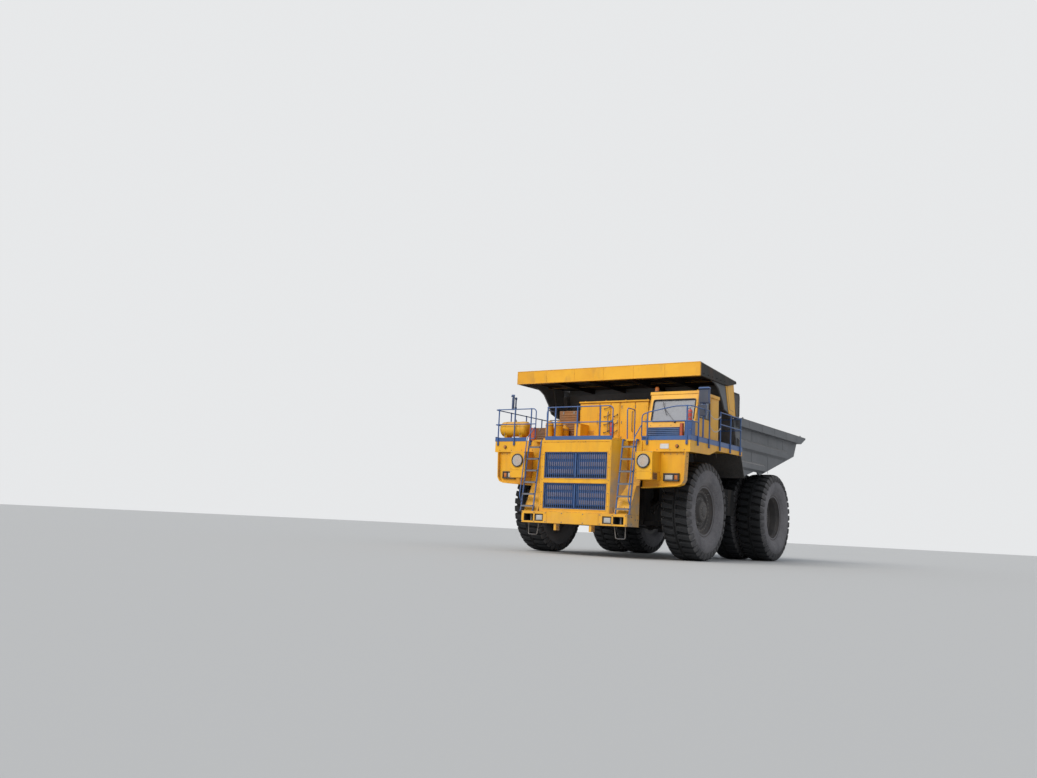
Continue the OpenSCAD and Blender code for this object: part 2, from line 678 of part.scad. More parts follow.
module hydraulic_tank() color(dark) placed() side_tank(2400, 1450, 2300);

module front_struts() color(steel) placed() pair() difference() {
    translate([kingpin_x, 0, 0]) {
        translate([0, 0, 1760]) cylinder(h = 1140, r = strut_r);
        translate([0, 0, tower_z]) cylinder(h = 40, r = strut_r + 50);
    }
    translate([kingpin_x, 0, 1700]) cylinder(h = 560, r = strut_rod_r + fit);
}

module rear_struts() color(steel) placed() pair() {
    low = [1060, wheelbase + 420, 1250];
    high = [1060, wheelbase + 800, 2200];
    u = (high - low) / norm(high - low);
    difference() {
        union() {
            for (p = [low, high]) bar_x(low[0] - 80, low[0] + 80, p[1], p[2], 100);
            tube(low + u * 60, high - u * 400, 80);
            tube(low + u * 450, high - u * 60, 120);
        }
        for (p = [low, high]) bar_x(low[0] - 100, low[0] + 100, p[1], p[2], 45 + seat);
    }
}

module rear_axle() color(dark) placed() {
    back = wheelbase + 100;
    bar_x(-1300, 1300, wheelbase, axle_z, 230);
    bar_x(-480, 480, wheelbase, axle_z, 420);
    // Front frame, down to the cross member of the chassis
    top_plate(1100, 1260, [[-140, link_y], [140, link_y], [620, back - 200], [620, back], [380, back],
        [0, link_y + 260], [-380, back], [-620, back], [-620, back - 200]]);
    pair() {
        bar_x(1290, 2700, wheelbase, axle_z, 250);
        // Lower pin of the rear suspension cylinder and its bracket
        side_plate(1150, 1190, [[wheelbase, 1200], [wheelbase + 480, 1180],
            [wheelbase + 480, 1320], [wheelbase, 1700]]);
        bar_x(940, 1160, wheelbase + 420, 1250, 45);
    }
}

// Guards behind the front wheels, hung from the deck's rear edge
module mud_guards() color(dark) placed() pair()
    side_plate(1700, deck_half - 60, [[deck_back, deck_z], [deck_back + 30, deck_z], [deck_back + 90, 3300],
        [deck_back + 400, 2640], [deck_back + 360, 2620], [deck_back + 50, 3290]]);

// Wheels

tread_x = tyre_w / 2 - 100;     // edge of the tread, from the tyre's middle
shoulder_x = tyre_w / 2 - 20;   // foot of the lugs on the side wall
groove_r = tyre_r - lug_depth;

// Section of a tyre without its lugs, as distance from its middle and radius
module tyre_section() {
    half = tyre_w / 2;
    flange = rim_w / 2;
    polygon([
        [-flange + 30, rim_seat_r + seat], [flange - 30, rim_seat_r + seat],
        [flange - 26, rim_flange_r], [flange + 20, rim_flange_r + 20], [half, 1060],
        [half - 6, tyre_r - 240], [tread_x, groove_r], [rib_half + 10, groove_r], [rib_half, tyre_r],
        [-rib_half, tyre_r], [-rib_half - 10, groove_r], [-tread_x, groove_r], [6 - half, tyre_r - 240],
        [-half, 1060], [-flange - 20, rim_flange_r + 20], [-flange + 26, rim_flange_r]]);
}

// Turns a section of [x, radius] points about the axle at x, y
module turned(x, y, n = 20) translate([x, y, axle_z]) rotate([0, 90, 0]) rotate_extrude($fn = n)
    mirror([1, 0]) rotate([0, 0, 90]) children();

// Ring of lugs on one shoulder, each narrower at its tip
module lug_ring() rotate([0, 90, 0]) intersection() {
    root = tyre_r - 240;
    translate([0, 0, rib_half - 5]) linear_extrude(shoulder_x - rib_half + 5) polygon([
        for (i = [0:lug_count - 1], k = [[0.2, root], [0.28, tyre_r + 60], [0.72, tyre_r + 60], [0.8, root]])
        let (a = (i + k[0]) * 360 / lug_count) [k[1] * cos(a), k[1] * sin(a)]]);
    rotate_extrude($fn = lug_count) polygon([[root - 140, 0], [tyre_r - 4, 0], [tyre_r - 4, tread_x + 20],
        [tyre_r - 150, shoulder_x], [root - 140, shoulder_x]]);
}

module tyre(x, y) {
    turned(x, y) tyre_section();
    for (side = [0, 1]) translate([x, y, axle_z]) rotate([side * 180 / lug_count, 0, 0])
        mirror([side, 0, 0]) lug_ring();
}

// Section of a rim barrel with its two flanges
module rim_section() {
    f = rim_w / 2;
    polygon([[-f, rim_flange_r - 5], [-f, rim_seat_r - rim_wall], [f, rim_seat_r - rim_wall],
        [f, rim_flange_r - 5], [f - 25, rim_flange_r - 5], [f - 25, rim_seat_r],
        [-f + 25, rim_seat_r], [-f + 25, rim_flange_r - 5]]);
}

front_wheel_x = front_tyre_face - tyre_w / 2;
outer_wheel_x = rear_tyre_face - tyre_w / 2;
inner_wheel_x = outer_wheel_x - tyre_w - twin_gap;

module front_rim() {
    turned(front_wheel_x, 0) {
        rim_section();
        // Disc, hub tube and hub cap
        polygon([[60, rim_seat_r - 20], [60, 300], [-340, 300], [-340, spindle_r + fit],
            [60, spindle_r + fit], [60, 0], [330, 0], [330, 180], [280, 230], [260, 330], [120, 330],
            [120, rim_seat_r - 20]]);
    }
}

module rear_rims() {
    turned(outer_wheel_x, wheelbase) rim_section();
    turned(inner_wheel_x, wheelbase) rim_section();
    turned(0, wheelbase) polygon([
        [inner_wheel_x - 40, rim_seat_r - 30], [inner_wheel_x - 40, 330], [inner_wheel_x - 200, 330],
        [inner_wheel_x - 200, 250 + fit], [2710, 250 + fit], [2710, 0], [2900, 0], [2900, 200],
        [2840, 300], [outer_wheel_x - 120, 330], [outer_wheel_x - 120, rim_seat_r - 30],
        [outer_wheel_x - 180, rim_seat_r - 30], [outer_wheel_x - 180, 330],
        [inner_wheel_x + 20, 330], [inner_wheel_x + 20, rim_seat_r - 30]]);
}

module rim_front_left() color(steel) placed() front_rim();
module rim_front_right() color(steel) placed() mirror([1, 0, 0]) front_rim();
module tyre_front_left() color(rubber) placed() tyre(front_wheel_x, 0);
module tyre_front_right() color(rubber) placed() tyre(-front_wheel_x, 0);
module rims_rear_left() color(steel) placed() rear_rims();
module rims_rear_right() color(steel) placed() mirror([1, 0, 0]) rear_rims();
module tyres_rear_left() color(rubber) placed() for (x = [inner_wheel_x, outer_wheel_x]) tyre(x, wheelbase);
module tyres_rear_right() color(rubber) placed() for (x = [inner_wheel_x, outer_wheel_x]) tyre(-x, wheelbase);

// Steering

module knuckle() {
    low = frame_low + 130 + run;
    translate([kingpin_x, 0, 0]) {
        translate([0, 0, frame_low]) cylinder(h = low - frame_low + 10, r = 80);
        translate([0, 0, low]) cylinder(h = 1700 - low, r = 165);
        translate([0, 0, 1690]) cylinder(h = 500, r = strut_rod_r);
    }
    bar_x(kingpin_x, front_wheel_x + 50, 0, axle_z, spindle_r);
    // Steering arm, dropped to the tie rod
    block([kingpin_x - 90, 100, low], [kingpin_x + 10, steer_arm, low + 90]);
    translate([kingpin_x - 50, steer_arm, 960]) cylinder(h = low + 90 - 960, r = 60);
}

module knuckle_left() color(dark) placed() knuckle();
module knuckle_right() color(dark) placed() mirror([1, 0, 0]) knuckle();

module tie_rod() color(dark) placed() {
    z = 930;
    bar_x(-kingpin_x + 50, kingpin_x - 50, steer_arm, z - 5, 34);
    pair() translate([kingpin_x - 50, steer_arm, z - 30]) cylinder(h = 60 - seat, r = 65);
}

// Dump body

body_in = body_plate - body_wall;
body_y0 = deck_back + 830;      // foot of the front wall
canopy_back = body_y0 - 1060;
canopy_side = 60;
canopy_mid = canopy_low + 160;  // underside of the canopy's sheet
rail_low = body_top - body_rail_h;
tail_y = wheelbase + rear_overhang;
floor_end = tail_y - 500;

function floor_z(y) = floor_low + (y - body_y0) * floor_rise / 1000;

module body_floor() color(grey) placed() difference() {
    union() {
        side_plate(-body_in, body_in, [[body_y0, floor_low], [floor_end, floor_z(floor_end)],
            [floor_end, floor_z(floor_end) + floor_t], [body_y0, floor_low + floor_t]]);
        pair() {
            // Long beams on the frame, ears at the hinge and hangers at the hoists
            side_plate(rail_in - 20, rail_out + 20, [[body_y0 + 100, saddle_z + 5], [pivot_y - 170, saddle_z + 5],
                [pivot_y + 150, saddle_z + 200], [pivot_y + 600, floor_z(pivot_y + 600) + 10],
                [body_y0 + 100, floor_z(body_y0 + 100) + 10]]);
            bar_x(rail_out + 10, rail_out + 130, pivot_y, pivot_z, 170);
            side_plate(rail_out + 10, rail_out + 130, [[pivot_y - 170, pivot_z], [pivot_y + 170, pivot_z],
                [pivot_y + 300, floor_z(pivot_y + 300) + 10], [pivot_y - 500, floor_z(pivot_y - 500) + 10]]);
            side_plate(rail_out + 10, rail_out + 90, [[hoist_up_y - 120, hoist_up_z - 90],
                [hoist_up_y + 120, hoist_up_z - 90], [hoist_up_y + 200, floor_z(hoist_up_y + 200) + 10],
                [hoist_up_y - 200, floor_z(hoist_up_y - 200) + 10]]);
            bar_x(rail_out + 50, hoist_x + 100, hoist_up_y, hoist_up_z, 40);
        }
        // Cross bolsters under the floor
        for (y = [body_y0 + 400, wheelbase - 500, wheelbase + 700, wheelbase + 1900])
            side_plate(-body_in, body_in, [[y, floor_z(y) - 130], [y + 250, floor_z(y + 250) - 130],
                [y + 250, floor_z(y + 250) + 10], [y, floor_z(y) + 10]]);
    }
    pair() bar_x(rail_out, rail_out + 150, pivot_y, pivot_z, pivot_r + fit);
}

// Long ridges of the sides: top, bottom, rear end
ridges = [[3930, 3580, wheelbase + 1600], [3250, 2950, wheelbase - 650]];

module body_sides() color(grey) placed() pair() {
    side_plate(body_in, body_plate, [[body_y0 - 460, rail_low], [body_y0 - 400, 2950], [body_y0, floor_low - 80],
        [wheelbase - 1190, 3030], [wheelbase - 1000, 2860], [wheelbase - 700, 2930], [tail_y - 800, 3800],
        [floor_end, rail_low]]);
    // Top rail
    side_plate(body_in, body_half, [[body_y0 - 460, rail_low], [floor_end, rail_low], [tail_y, body_top - 40],
        [tail_y, body_top], [body_y0 - 460, body_top]]);
    for (r = ridges) translate([0, body_y0 - 350, 0]) rotate([-90, 0, 0]) linear_extrude(r[2] - body_y0 + 350)
        polygon([[body_plate, -r[0]], [body_plate + 80, 70 - r[0]], [body_plate + 80, -70 - r[1]],
            [body_plate, -r[1]]]);
    // Panel and column that carry the canopy, and the curved plate ahead of them
    side_plate(body_in, body_plate + 80, [[body_y0 - 1220, canopy_low - 60], [body_y0 - 410, canopy_low - 60],
        [body_y0 - 410, body_top - 10], [body_y0 - 460, body_top - 10], [body_y0 - 1000, body_top - 50]]);
    side_plate(body_plate + 60, canopy_half - canopy_side, [[body_y0 - 1860, canopy_mid], [body_y0 - 1190, canopy_mid],
        [body_y0 - 970, body_top - 50], [body_y0 - 1530, body_top + 10]]);
    side_plate(canopy_half - canopy_side - 50, canopy_half - canopy_side, [[body_y0 - 3730, canopy_mid],
        [body_y0 - 3730, canopy_low + 30], [body_y0 - 2870, canopy_low + 20], [body_y0 - 2580, canopy_low - 40],
        [body_y0 - 2340, canopy_low - 150], [body_y0 - 2050, canopy_low - 440], [body_y0 - 1830, canopy_low - 740],
        [body_y0 - 1500, body_top + 20], [body_y0 - 1300, canopy_mid]]);
}

module body_front() color(grey) placed()
    side_plate(-body_in, body_in, [[body_y0, floor_low], [body_y0, floor_low + floor_t],
        [body_y0 + 60, floor_z(body_y0 + 60) + floor_t], [canopy_back + 100, canopy_mid], [canopy_back, canopy_mid],
        [canopy_back, canopy_low]]);

module body_canopy() color(yellow) placed() {
    front = -canopy_front;
    t = 60;
    side_plate(-canopy_half, canopy_half, [[front, canopy_mid], [canopy_back, canopy_mid],
        [canopy_back, canopy_mid + t], [front, canopy_mid + t]]);
    block([-canopy_half, front, canopy_low], [canopy_half, front + t, canopy_top]);
    pair() {
        side_plate(canopy_half - canopy_side, canopy_half, [[front, canopy_low], [canopy_back - 680, canopy_low],
            [canopy_back, canopy_mid], [canopy_back, canopy_mid + t], [front, canopy_top]]);
        for (x = [700, 1900]) side_plate(x, x + 60, [[front, canopy_low + 20], [canopy_back, canopy_low + 20],
            [canopy_back, canopy_mid], [front, canopy_mid]]);
    }
}

// Hoists: each is drawn upright at its lower pin, then leaned to its upper pin

hoist_run = [hoist_up_y - hoist_low_y, hoist_up_z - hoist_low_z];
hoist_len = norm(hoist_run);
hoist_lean = atan2(hoist_run[0], hoist_run[1]);

module leaned() translate([hoist_x, hoist_low_y, hoist_low_z]) rotate([-hoist_lean, 0, 0]) children();

module hoist_barrel() leaned() difference() {
    union() {
        cylinder(h = hoist_len - 130, r = hoist_r);
        rotate([0, 90, 0]) translate([0, 0, -80]) cylinder(h = 160, r = 110);
    }
    translate([0, 0, 130]) cylinder(h = hoist_len, r = rod_r + fit);
    rotate([0, 90, 0]) translate([0, 0, -200]) cylinder(h = 400, r = 60 + fit);
}

// The rod's eye is opened, so that its pin has room as the body tips
module hoist_rod() leaned() difference() {
    union() {
        translate([0, 0, 140]) cylinder(h = hoist_len - 140 - 95, r = rod_r);
        translate([-70, 0, hoist_len]) rotate([0, 90, 0]) cylinder(h = 140, r = 115);
    }
    translate([-100, 0, hoist_len]) rotate([0, 90, 0]) cylinder(h = 200, r = 84);
}

module hoist_barrel_left() color(dark) placed() hoist_barrel();
module hoist_rod_left() color(steel) placed() hoist_rod();
module hoist_barrel_right() color(dark) placed() mirror([1, 0, 0]) hoist_barrel();
module hoist_rod_right() color(steel) placed() mirror([1, 0, 0]) hoist_rod();

chassis_frame();
cross_members();
front_towers();
front_bumper();
engine_block();
driveline();
radiator_shell();
grille();
front_fenders();
headlamps();
marker_lamps();
deck();
railings();
ladders();
front_louvre();
fire_gear();
cab_shell();
cab_glass();
cab_seat();
cab_controls();
equipment_cabinet();
air_tank();
deck_boxes();
mirrors();
beacon();
fuel_tank();
hydraulic_tank();
front_struts();
rear_struts();
rear_axle();
mud_guards();
cab_door();
door_glass();
knuckle_left();
knuckle_right();
tie_rod();
rim_front_left();
tyre_front_left();
rim_front_right();
tyre_front_right();
rims_rear_left();
tyres_rear_left();
rims_rear_right();
tyres_rear_right();
body_floor();
body_sides();
body_front();
body_canopy();
hoist_barrel_left();
hoist_rod_left();
hoist_barrel_right();
hoist_rod_right();
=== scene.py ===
from math import cos, hypot, pi, radians, sin

import bmesh
import bpy
from mathutils import Matrix, Vector


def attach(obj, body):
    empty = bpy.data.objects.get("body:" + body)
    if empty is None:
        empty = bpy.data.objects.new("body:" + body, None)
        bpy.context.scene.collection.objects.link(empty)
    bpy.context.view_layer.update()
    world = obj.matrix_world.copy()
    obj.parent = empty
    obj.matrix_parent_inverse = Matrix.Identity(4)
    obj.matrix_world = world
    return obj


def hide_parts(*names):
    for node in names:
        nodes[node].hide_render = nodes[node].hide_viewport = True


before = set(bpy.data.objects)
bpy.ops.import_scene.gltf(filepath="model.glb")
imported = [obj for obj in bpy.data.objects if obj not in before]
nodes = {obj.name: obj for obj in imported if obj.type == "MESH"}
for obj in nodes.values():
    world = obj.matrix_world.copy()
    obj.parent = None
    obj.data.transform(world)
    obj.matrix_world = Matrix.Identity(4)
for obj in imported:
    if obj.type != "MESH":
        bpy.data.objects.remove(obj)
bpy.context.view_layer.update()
frontAxle = -2.9  # everything below is measured from the front axle, as in the source
wheelBase = 5.3
axleHeight = 1.48  # also the tyres' radius
deckTop = 3.44
bothSides = (1, -1)
upward, backward, forward = (0, 0, 1), (0, 1, 0), (0, -1, 0)
print("frame loaded:", len(nodes), "nodes")

scene = bpy.context.scene
scene.view_settings.view_transform = "Standard"

camera = {
    "place": (14.612, -27.134, 0.791),
    "yaw": -0.603,
    "pitch": 0.141,
    "roll": 0.05,
    "lens": 33.29,
}


def standCamera():
    yaw, pitch, roll = camera["yaw"], camera["pitch"], camera["roll"]
    ahead = Vector((sin(yaw) * cos(pitch), cos(yaw) * cos(pitch), sin(pitch)))
    side = Vector((cos(yaw), -sin(yaw), 0))
    up = side.cross(ahead)
    side, up = cos(roll) * side + sin(roll) * up, cos(roll) * up - sin(roll) * side
    data = bpy.data.cameras.new("photoCamera")
    data.lens, data.sensor_width, data.clip_end = camera["lens"], 36, 400
    eye = bpy.data.objects.new("photoCamera", data)
    scene.collection.objects.link(eye)
    turn = Matrix((side, up, -ahead)).transposed().to_4x4()
    x, y, z = camera["place"]
    eye.matrix_world = Matrix.Translation((x, y + frontAxle, z)) @ turn
    scene.camera = eye


standCamera()


# Node helpers for the finishes

def setInputs(tree, node, inputs):
    for key, value in inputs.items():
        if isinstance(value, bpy.types.NodeSocket):
            tree.links.new(value, node.inputs[key])
        else:
            node.inputs[key].default_value = value


def addNode(tree, kind, inputs=None, **settings):
    node = tree.nodes.new(kind)
    for key, value in settings.items():
        setattr(node, key, value)
    setInputs(tree, node, inputs or {})
    return node


def spread(tree, value, low, high, toLow=0.0, toHigh=1.0):
    return addNode(tree, "ShaderNodeMapRange", {0: value, 1: low, 2: high, 3: toLow, 4: toHigh}).outputs[0]


def combine(tree, how, a, b, clamp=True):
    return addNode(tree, "ShaderNodeMath", {0: a, 1: b}, operation=how, use_clamp=clamp).outputs[0]


def times(tree, a, b):
    return combine(tree, "MULTIPLY", a, b)


def splitAxes(tree, value):
    return addNode(tree, "ShaderNodeSeparateXYZ", {0: value}).outputs


def blendColour(tree, amount, a, b):
    full = lambda c: c if isinstance(c, bpy.types.NodeSocket) else (*c, 1)
    node = addNode(tree, "ShaderNodeMix", {0: amount, 6: full(a), 7: full(b)}, data_type="RGBA")
    return node.outputs[2]


def patches(tree, where, scale, low=0.4, high=0.62, stretch=(1, 1, 1), detail=5):
    if stretch != (1, 1, 1):
        where = addNode(tree, "ShaderNodeMapping", {"Vector": where, "Scale": stretch}).outputs[0]
    made = addNode(tree, "ShaderNodeTexNoise",
                   {"Vector": where, "Scale": scale, "Detail": detail, "Roughness": 0.6})
    return spread(tree, made.outputs["Fac"], low, high)


finishes = {}


def startFinish(name):
    finish = bpy.data.materials.new(name)
    finish.use_nodes = True
    tree = finish.node_tree
    tree.nodes.clear()
    shader = addNode(tree, "ShaderNodeBsdfPrincipled")
    addNode(tree, "ShaderNodeOutputMaterial", {0: shader.outputs[0]})
    place = addNode(tree, "ShaderNodeTexCoord").outputs
    finishes[name] = finish
    return tree, shader, place["Object"], place["Normal"]


def softNormal(tree, radius):
    return addNode(tree, "ShaderNodeBevel", {"Radius": radius}, samples=4).outputs[0]


def roughSurface(tree, shader, height, strength, distance, edge):
    inputs = {"Height": height, "Strength": strength, "Distance": distance}
    if edge:
        inputs["Normal"] = softNormal(tree, edge)
    setInputs(tree, shader, {"Normal": addNode(tree, "ShaderNodeBump", inputs).outputs[0]})


# White where an edge is worn: there the softened and the plain normal part
def edgeMask(tree, radius):
    plain = addNode(tree, "ShaderNodeNewGeometry").outputs["Normal"]
    meet = addNode(tree, "ShaderNodeVectorMath", {0: softNormal(tree, radius), 1: plain},
                   operation="DOT_PRODUCT")
    return spread(tree, meet.outputs["Value"], 0.985, 0.86)


# Dust and painted shade on faces that look sideways, near the middle and at the outer sides, fading upwards
def sideDustAndShade(tree, axes, facing, amount):
    look = {"middle": (1.92, 1.88), "outer": (3.16, 3.18), "fade": (3.12, 2.15)}
    side = spread(tree, combine(tree, "ABSOLUTE", facing[0], 0), 0.6, 0.85, 0, amount)
    across = combine(tree, "ABSOLUTE", axes[0], 0, False)
    apart = combine(tree, "MAXIMUM", spread(tree, across, *look["middle"]),
                    spread(tree, across, *look["outer"]))
    return times(tree, side, times(tree, apart, spread(tree, axes[2], *look["fade"])))


# Paint over steel: faded patches, dust on what faces up and low down, streaks, chipped edges
def makePaint(name, look):
    look = {**plainPaint, **look}
    tree, shader, here, normal = startFinish(name)
    axes, facing = splitAxes(tree, here), splitAxes(tree, normal)
    colour = blendColour(tree, patches(tree, here, 0.9, 0.38, 0.66), look["colour"], look["faded"])
    grime = times(tree, patches(tree, here, 5.0, 0.46, 0.72, look["streak"]), look["grime"])
    colour = blendColour(tree, grime, colour, look["grimeColour"])
    up = spread(tree, facing[2], 0.35, 0.95, 0, look["upDust"])
    low = spread(tree, axes[2], look["dustTop"], 0.5, 0, look["lowDust"])
    # Grey on sideways faces: partly dust, partly painted shade
    if look["sideDustAndShade"]:
        low = combine(tree, "MAXIMUM", low, sideDustAndShade(tree, axes, facing, look["sideDustAndShade"]))
    dust = combine(tree, "ADD", combine(tree, "MAXIMUM", up, low), look["dust"])
    dust = times(tree, dust, patches(tree, here, 2.6, look["dustFrom"], 0.66))
    colour = blendColour(tree, dust, colour, look["dustColour"])
    if look["chips"]:
        worn = times(tree, edgeMask(tree, look["chipReach"]), patches(tree, here, 7.0, 0.48, 0.6))
        spots = patches(tree, here, 11.0, 0.7, 0.74, detail=8)
        worn = times(tree, combine(tree, "MAXIMUM", worn, spots), look["chips"])
        colour = blendColour(tree, worn, colour, look["chipColour"])
    setInputs(tree, shader, {
        "Base Color": colour,
        "Roughness": spread(tree, dust, 0, 0.7, look["rough"], 0.9),
        "Specular IOR Level": look["shine"],
        "Coat Weight": look["coat"],
        "Coat Roughness": 0.25,
        "Metallic": look["metal"],
    })
    waves = addNode(tree, "ShaderNodeTexNoise", {"Vector": here, "Scale": 1.6, "Detail": 3})
    grit = addNode(tree, "ShaderNodeTexNoise", {"Vector": here, "Scale": 90.0, "Detail": 2})
    height = addNode(tree, "ShaderNodeMath", {0: grit.outputs["Fac"], 1: 0.03, 2: waves.outputs["Fac"]},
                     operation="MULTIPLY_ADD")
    roughSurface(tree, shader, height.outputs[0], look["dents"], 0.03, look["edge"])


# What a paint has where its own entry says nothing else
plainPaint = {"streak": (1, 1, 0.12), "grimeColour": (0.16, 0.13, 0.1), "upDust": 0.5, "lowDust": 0.0,
              "dustTop": 2.4, "sideDustAndShade": 0.0, "dustFrom": 0.22, "dustColour": (0.3, 0.28, 0.26),
              "chips": 0.3, "chipReach": 0.02, "chipColour": (0.09, 0.045, 0.025), "rough": 0.38,
              "shine": 0.45, "coat": 0.0, "metal": 0.0, "dents": 0.35, "edge": 0.008}
paints = {
    # Yellow goes grey on its sideways faces: dust and painted shade
    "yellowPaint": {"colour": (0.86, 0.43, 0.01), "faded": (0.78, 0.36, 0.008), "grime": 0.2, "upDust": 0.36,
                    "lowDust": 0.22, "dustTop": 1.7, "sideDustAndShade": 0.85, "dust": 0.02, "chips": 0.7,
                    "grimeColour": (0.22, 0.13, 0.05), "coat": 0.06, "rough": 0.42},
    "bluePaint": {"colour": (0.02, 0.085, 0.28), "faded": (0.045, 0.12, 0.3), "grime": 0.22, "upDust": 0.45,
                  "lowDust": 0.3, "dust": 0.05, "chips": 0.6, "chipReach": 0.008, "coat": 0.12,
                  "edge": 0.004},
    "greyPaint": {"colour": (0.115, 0.105, 0.1), "faded": (0.15, 0.13, 0.12), "grime": 0.4, "upDust": 0.7,
                  "lowDust": 0.5, "dust": 0.2, "chips": 0.4, "coat": 0.12},
    "bodySteel": {"colour": (0.088, 0.098, 0.112), "faded": (0.125, 0.132, 0.145), "grime": 0.45,
                  "upDust": 0.95, "lowDust": 0.1, "dust": 0.12, "dustColour": (0.36, 0.345, 0.325),
                  "dustFrom": -0.6, "streak": (1, 0.25, 1), "grimeColour": (0.075, 0.075, 0.08), "rough": 0.5,
                  "chips": 0.35, "chipColour": (0.1, 0.055, 0.03), "dents": 0.6},
    "framePaint": {"colour": (0.012, 0.013, 0.015), "faded": (0.022, 0.022, 0.023), "grime": 0.3,
                   "upDust": 0.6, "lowDust": 0.3, "dust": 0.06, "dustColour": (0.11, 0.105, 0.1),
                   "rough": 0.6, "chips": 0.25, "shine": 0.15},
    "rimPaint": {"colour": (0.055, 0.052, 0.052), "faded": (0.085, 0.078, 0.075), "grime": 0.3, "upDust": 0.0,
                 "dust": 0.3, "dustColour": (0.17, 0.16, 0.155), "rough": 0.6,
                 "chipColour": (0.12, 0.06, 0.03), "edge": 0.005},
    "rustPaint": {"colour": (0.32, 0.13, 0.035), "faded": (0.2, 0.085, 0.03), "grime": 0.5, "lowDust": 0.5,
                  "dust": 0.1, "rough": 0.7, "chips": 0.5},
    "redPaint": {"colour": (0.52, 0.035, 0.02), "faded": (0.42, 0.05, 0.03), "grime": 0.2, "upDust": 0.4,
                 "dust": 0.05, "coat": 0.12, "edge": 0.004, "rough": 0.3},
    # Near black for the insides of openings: painted shade
    "recessShadeBlack": {"colour": (0.01, 0.011, 0.01), "faded": (0.02, 0.02, 0.018), "grime": 0.3, "upDust": 0.4,
                    "lowDust": 0.2, "dust": 0.05, "dustColour": (0.09, 0.085, 0.07), "chips": 0.0,
                    "rough": 0.7},
    "grilleBlue": {"colour": (0.03, 0.095, 0.27), "faded": (0.05, 0.12, 0.28), "grime": 0.1, "upDust": 0.3,
                   "lowDust": 0.1, "dust": 0.1, "dustColour": (0.2, 0.2, 0.24), "chips": 0.4,
                   "chipReach": 0.004, "coat": 0.12, "edge": 0.002},
    "grilleBlade": {"colour": (0.19, 0.18, 0.25), "faded": (0.25, 0.22, 0.28), "grime": 0.35, "upDust": 0.3,
                    "lowDust": 0.1, "dust": 0.2, "dustColour": (0.19, 0.18, 0.21), "chips": 0.2, "coat": 0.12,
                    "grimeColour": (0.05, 0.05, 0.08), "rough": 0.6, "edge": 0.002},
    "treadSteel": {"colour": (0.2, 0.21, 0.24), "faded": (0.13, 0.13, 0.15), "grime": 0.35, "upDust": 0.6,
                   "lowDust": 0.5, "dust": 0.15, "rough": 0.55, "edge": 0.002, "metal": 0.3},
    "orangePaint": {"colour": (0.62, 0.1, 0.022), "faded": (0.5, 0.11, 0.03), "grime": 0.25, "upDust": 0.4,
                    "dust": 0.05, "chips": 0.4, "coat": 0.12, "edge": 0.004},
    "mirrorBack": {"colour": (0.022, 0.03, 0.055), "faded": (0.035, 0.045, 0.075), "grime": 0.2, "dust": 0.1,
                   "rough": 0.5, "edge": 0.006},
    "dustySteel": {"colour": (0.2, 0.19, 0.18), "faded": (0.28, 0.26, 0.245), "grime": 0.2, "upDust": 1.0,
                   "dust": 0.35, "dustColour": (0.52, 0.49, 0.46), "dustFrom": -0.2, "rough": 0.8,
                   "chips": 0.2},
    # Near black for the canopy's parts: black paint and painted shade
    "canopyBlackAndShade": {"colour": (0.01, 0.01, 0.01), "faded": (0.03, 0.018, 0.013), "grime": 0.2, "dust": 0.03,
                    "rough": 0.6, "chips": 0.4, "shine": 0.15},
    "whitePaint": {"colour": (0.72, 0.72, 0.7), "faded": (0.62, 0.62, 0.6), "grime": 0.3, "upDust": 0.3,
                   "lowDust": 0.1, "dust": 0.08, "chips": 0.2, "coat": 0.12, "edge": 0.003},
    "blackPlastic": {"colour": (0.018, 0.018, 0.02), "faded": (0.03, 0.03, 0.032), "grime": 0.2, "dust": 0.08,
                     "chips": 0.0, "rough": 0.5, "edge": 0.004},
    "rodChrome": {"colour": (0.55, 0.56, 0.58), "faded": (0.45, 0.45, 0.46), "grime": 0.15, "upDust": 0.2,
                  "lowDust": 0.1, "dust": 0.03, "chips": 0.0, "coat": 0.12, "metal": 0.95, "rough": 0.16,
                  "dents": 0.05},
    "bareSteel": {"colour": (0.26, 0.25, 0.24), "faded": (0.18, 0.16, 0.15), "grime": 0.4, "upDust": 0.4,
                  "lowDust": 0.5, "dust": 0.1, "metal": 0.5, "rough": 0.5, "edge": 0.004},
}
for name, look in paints.items():
    makePaint(name, look)


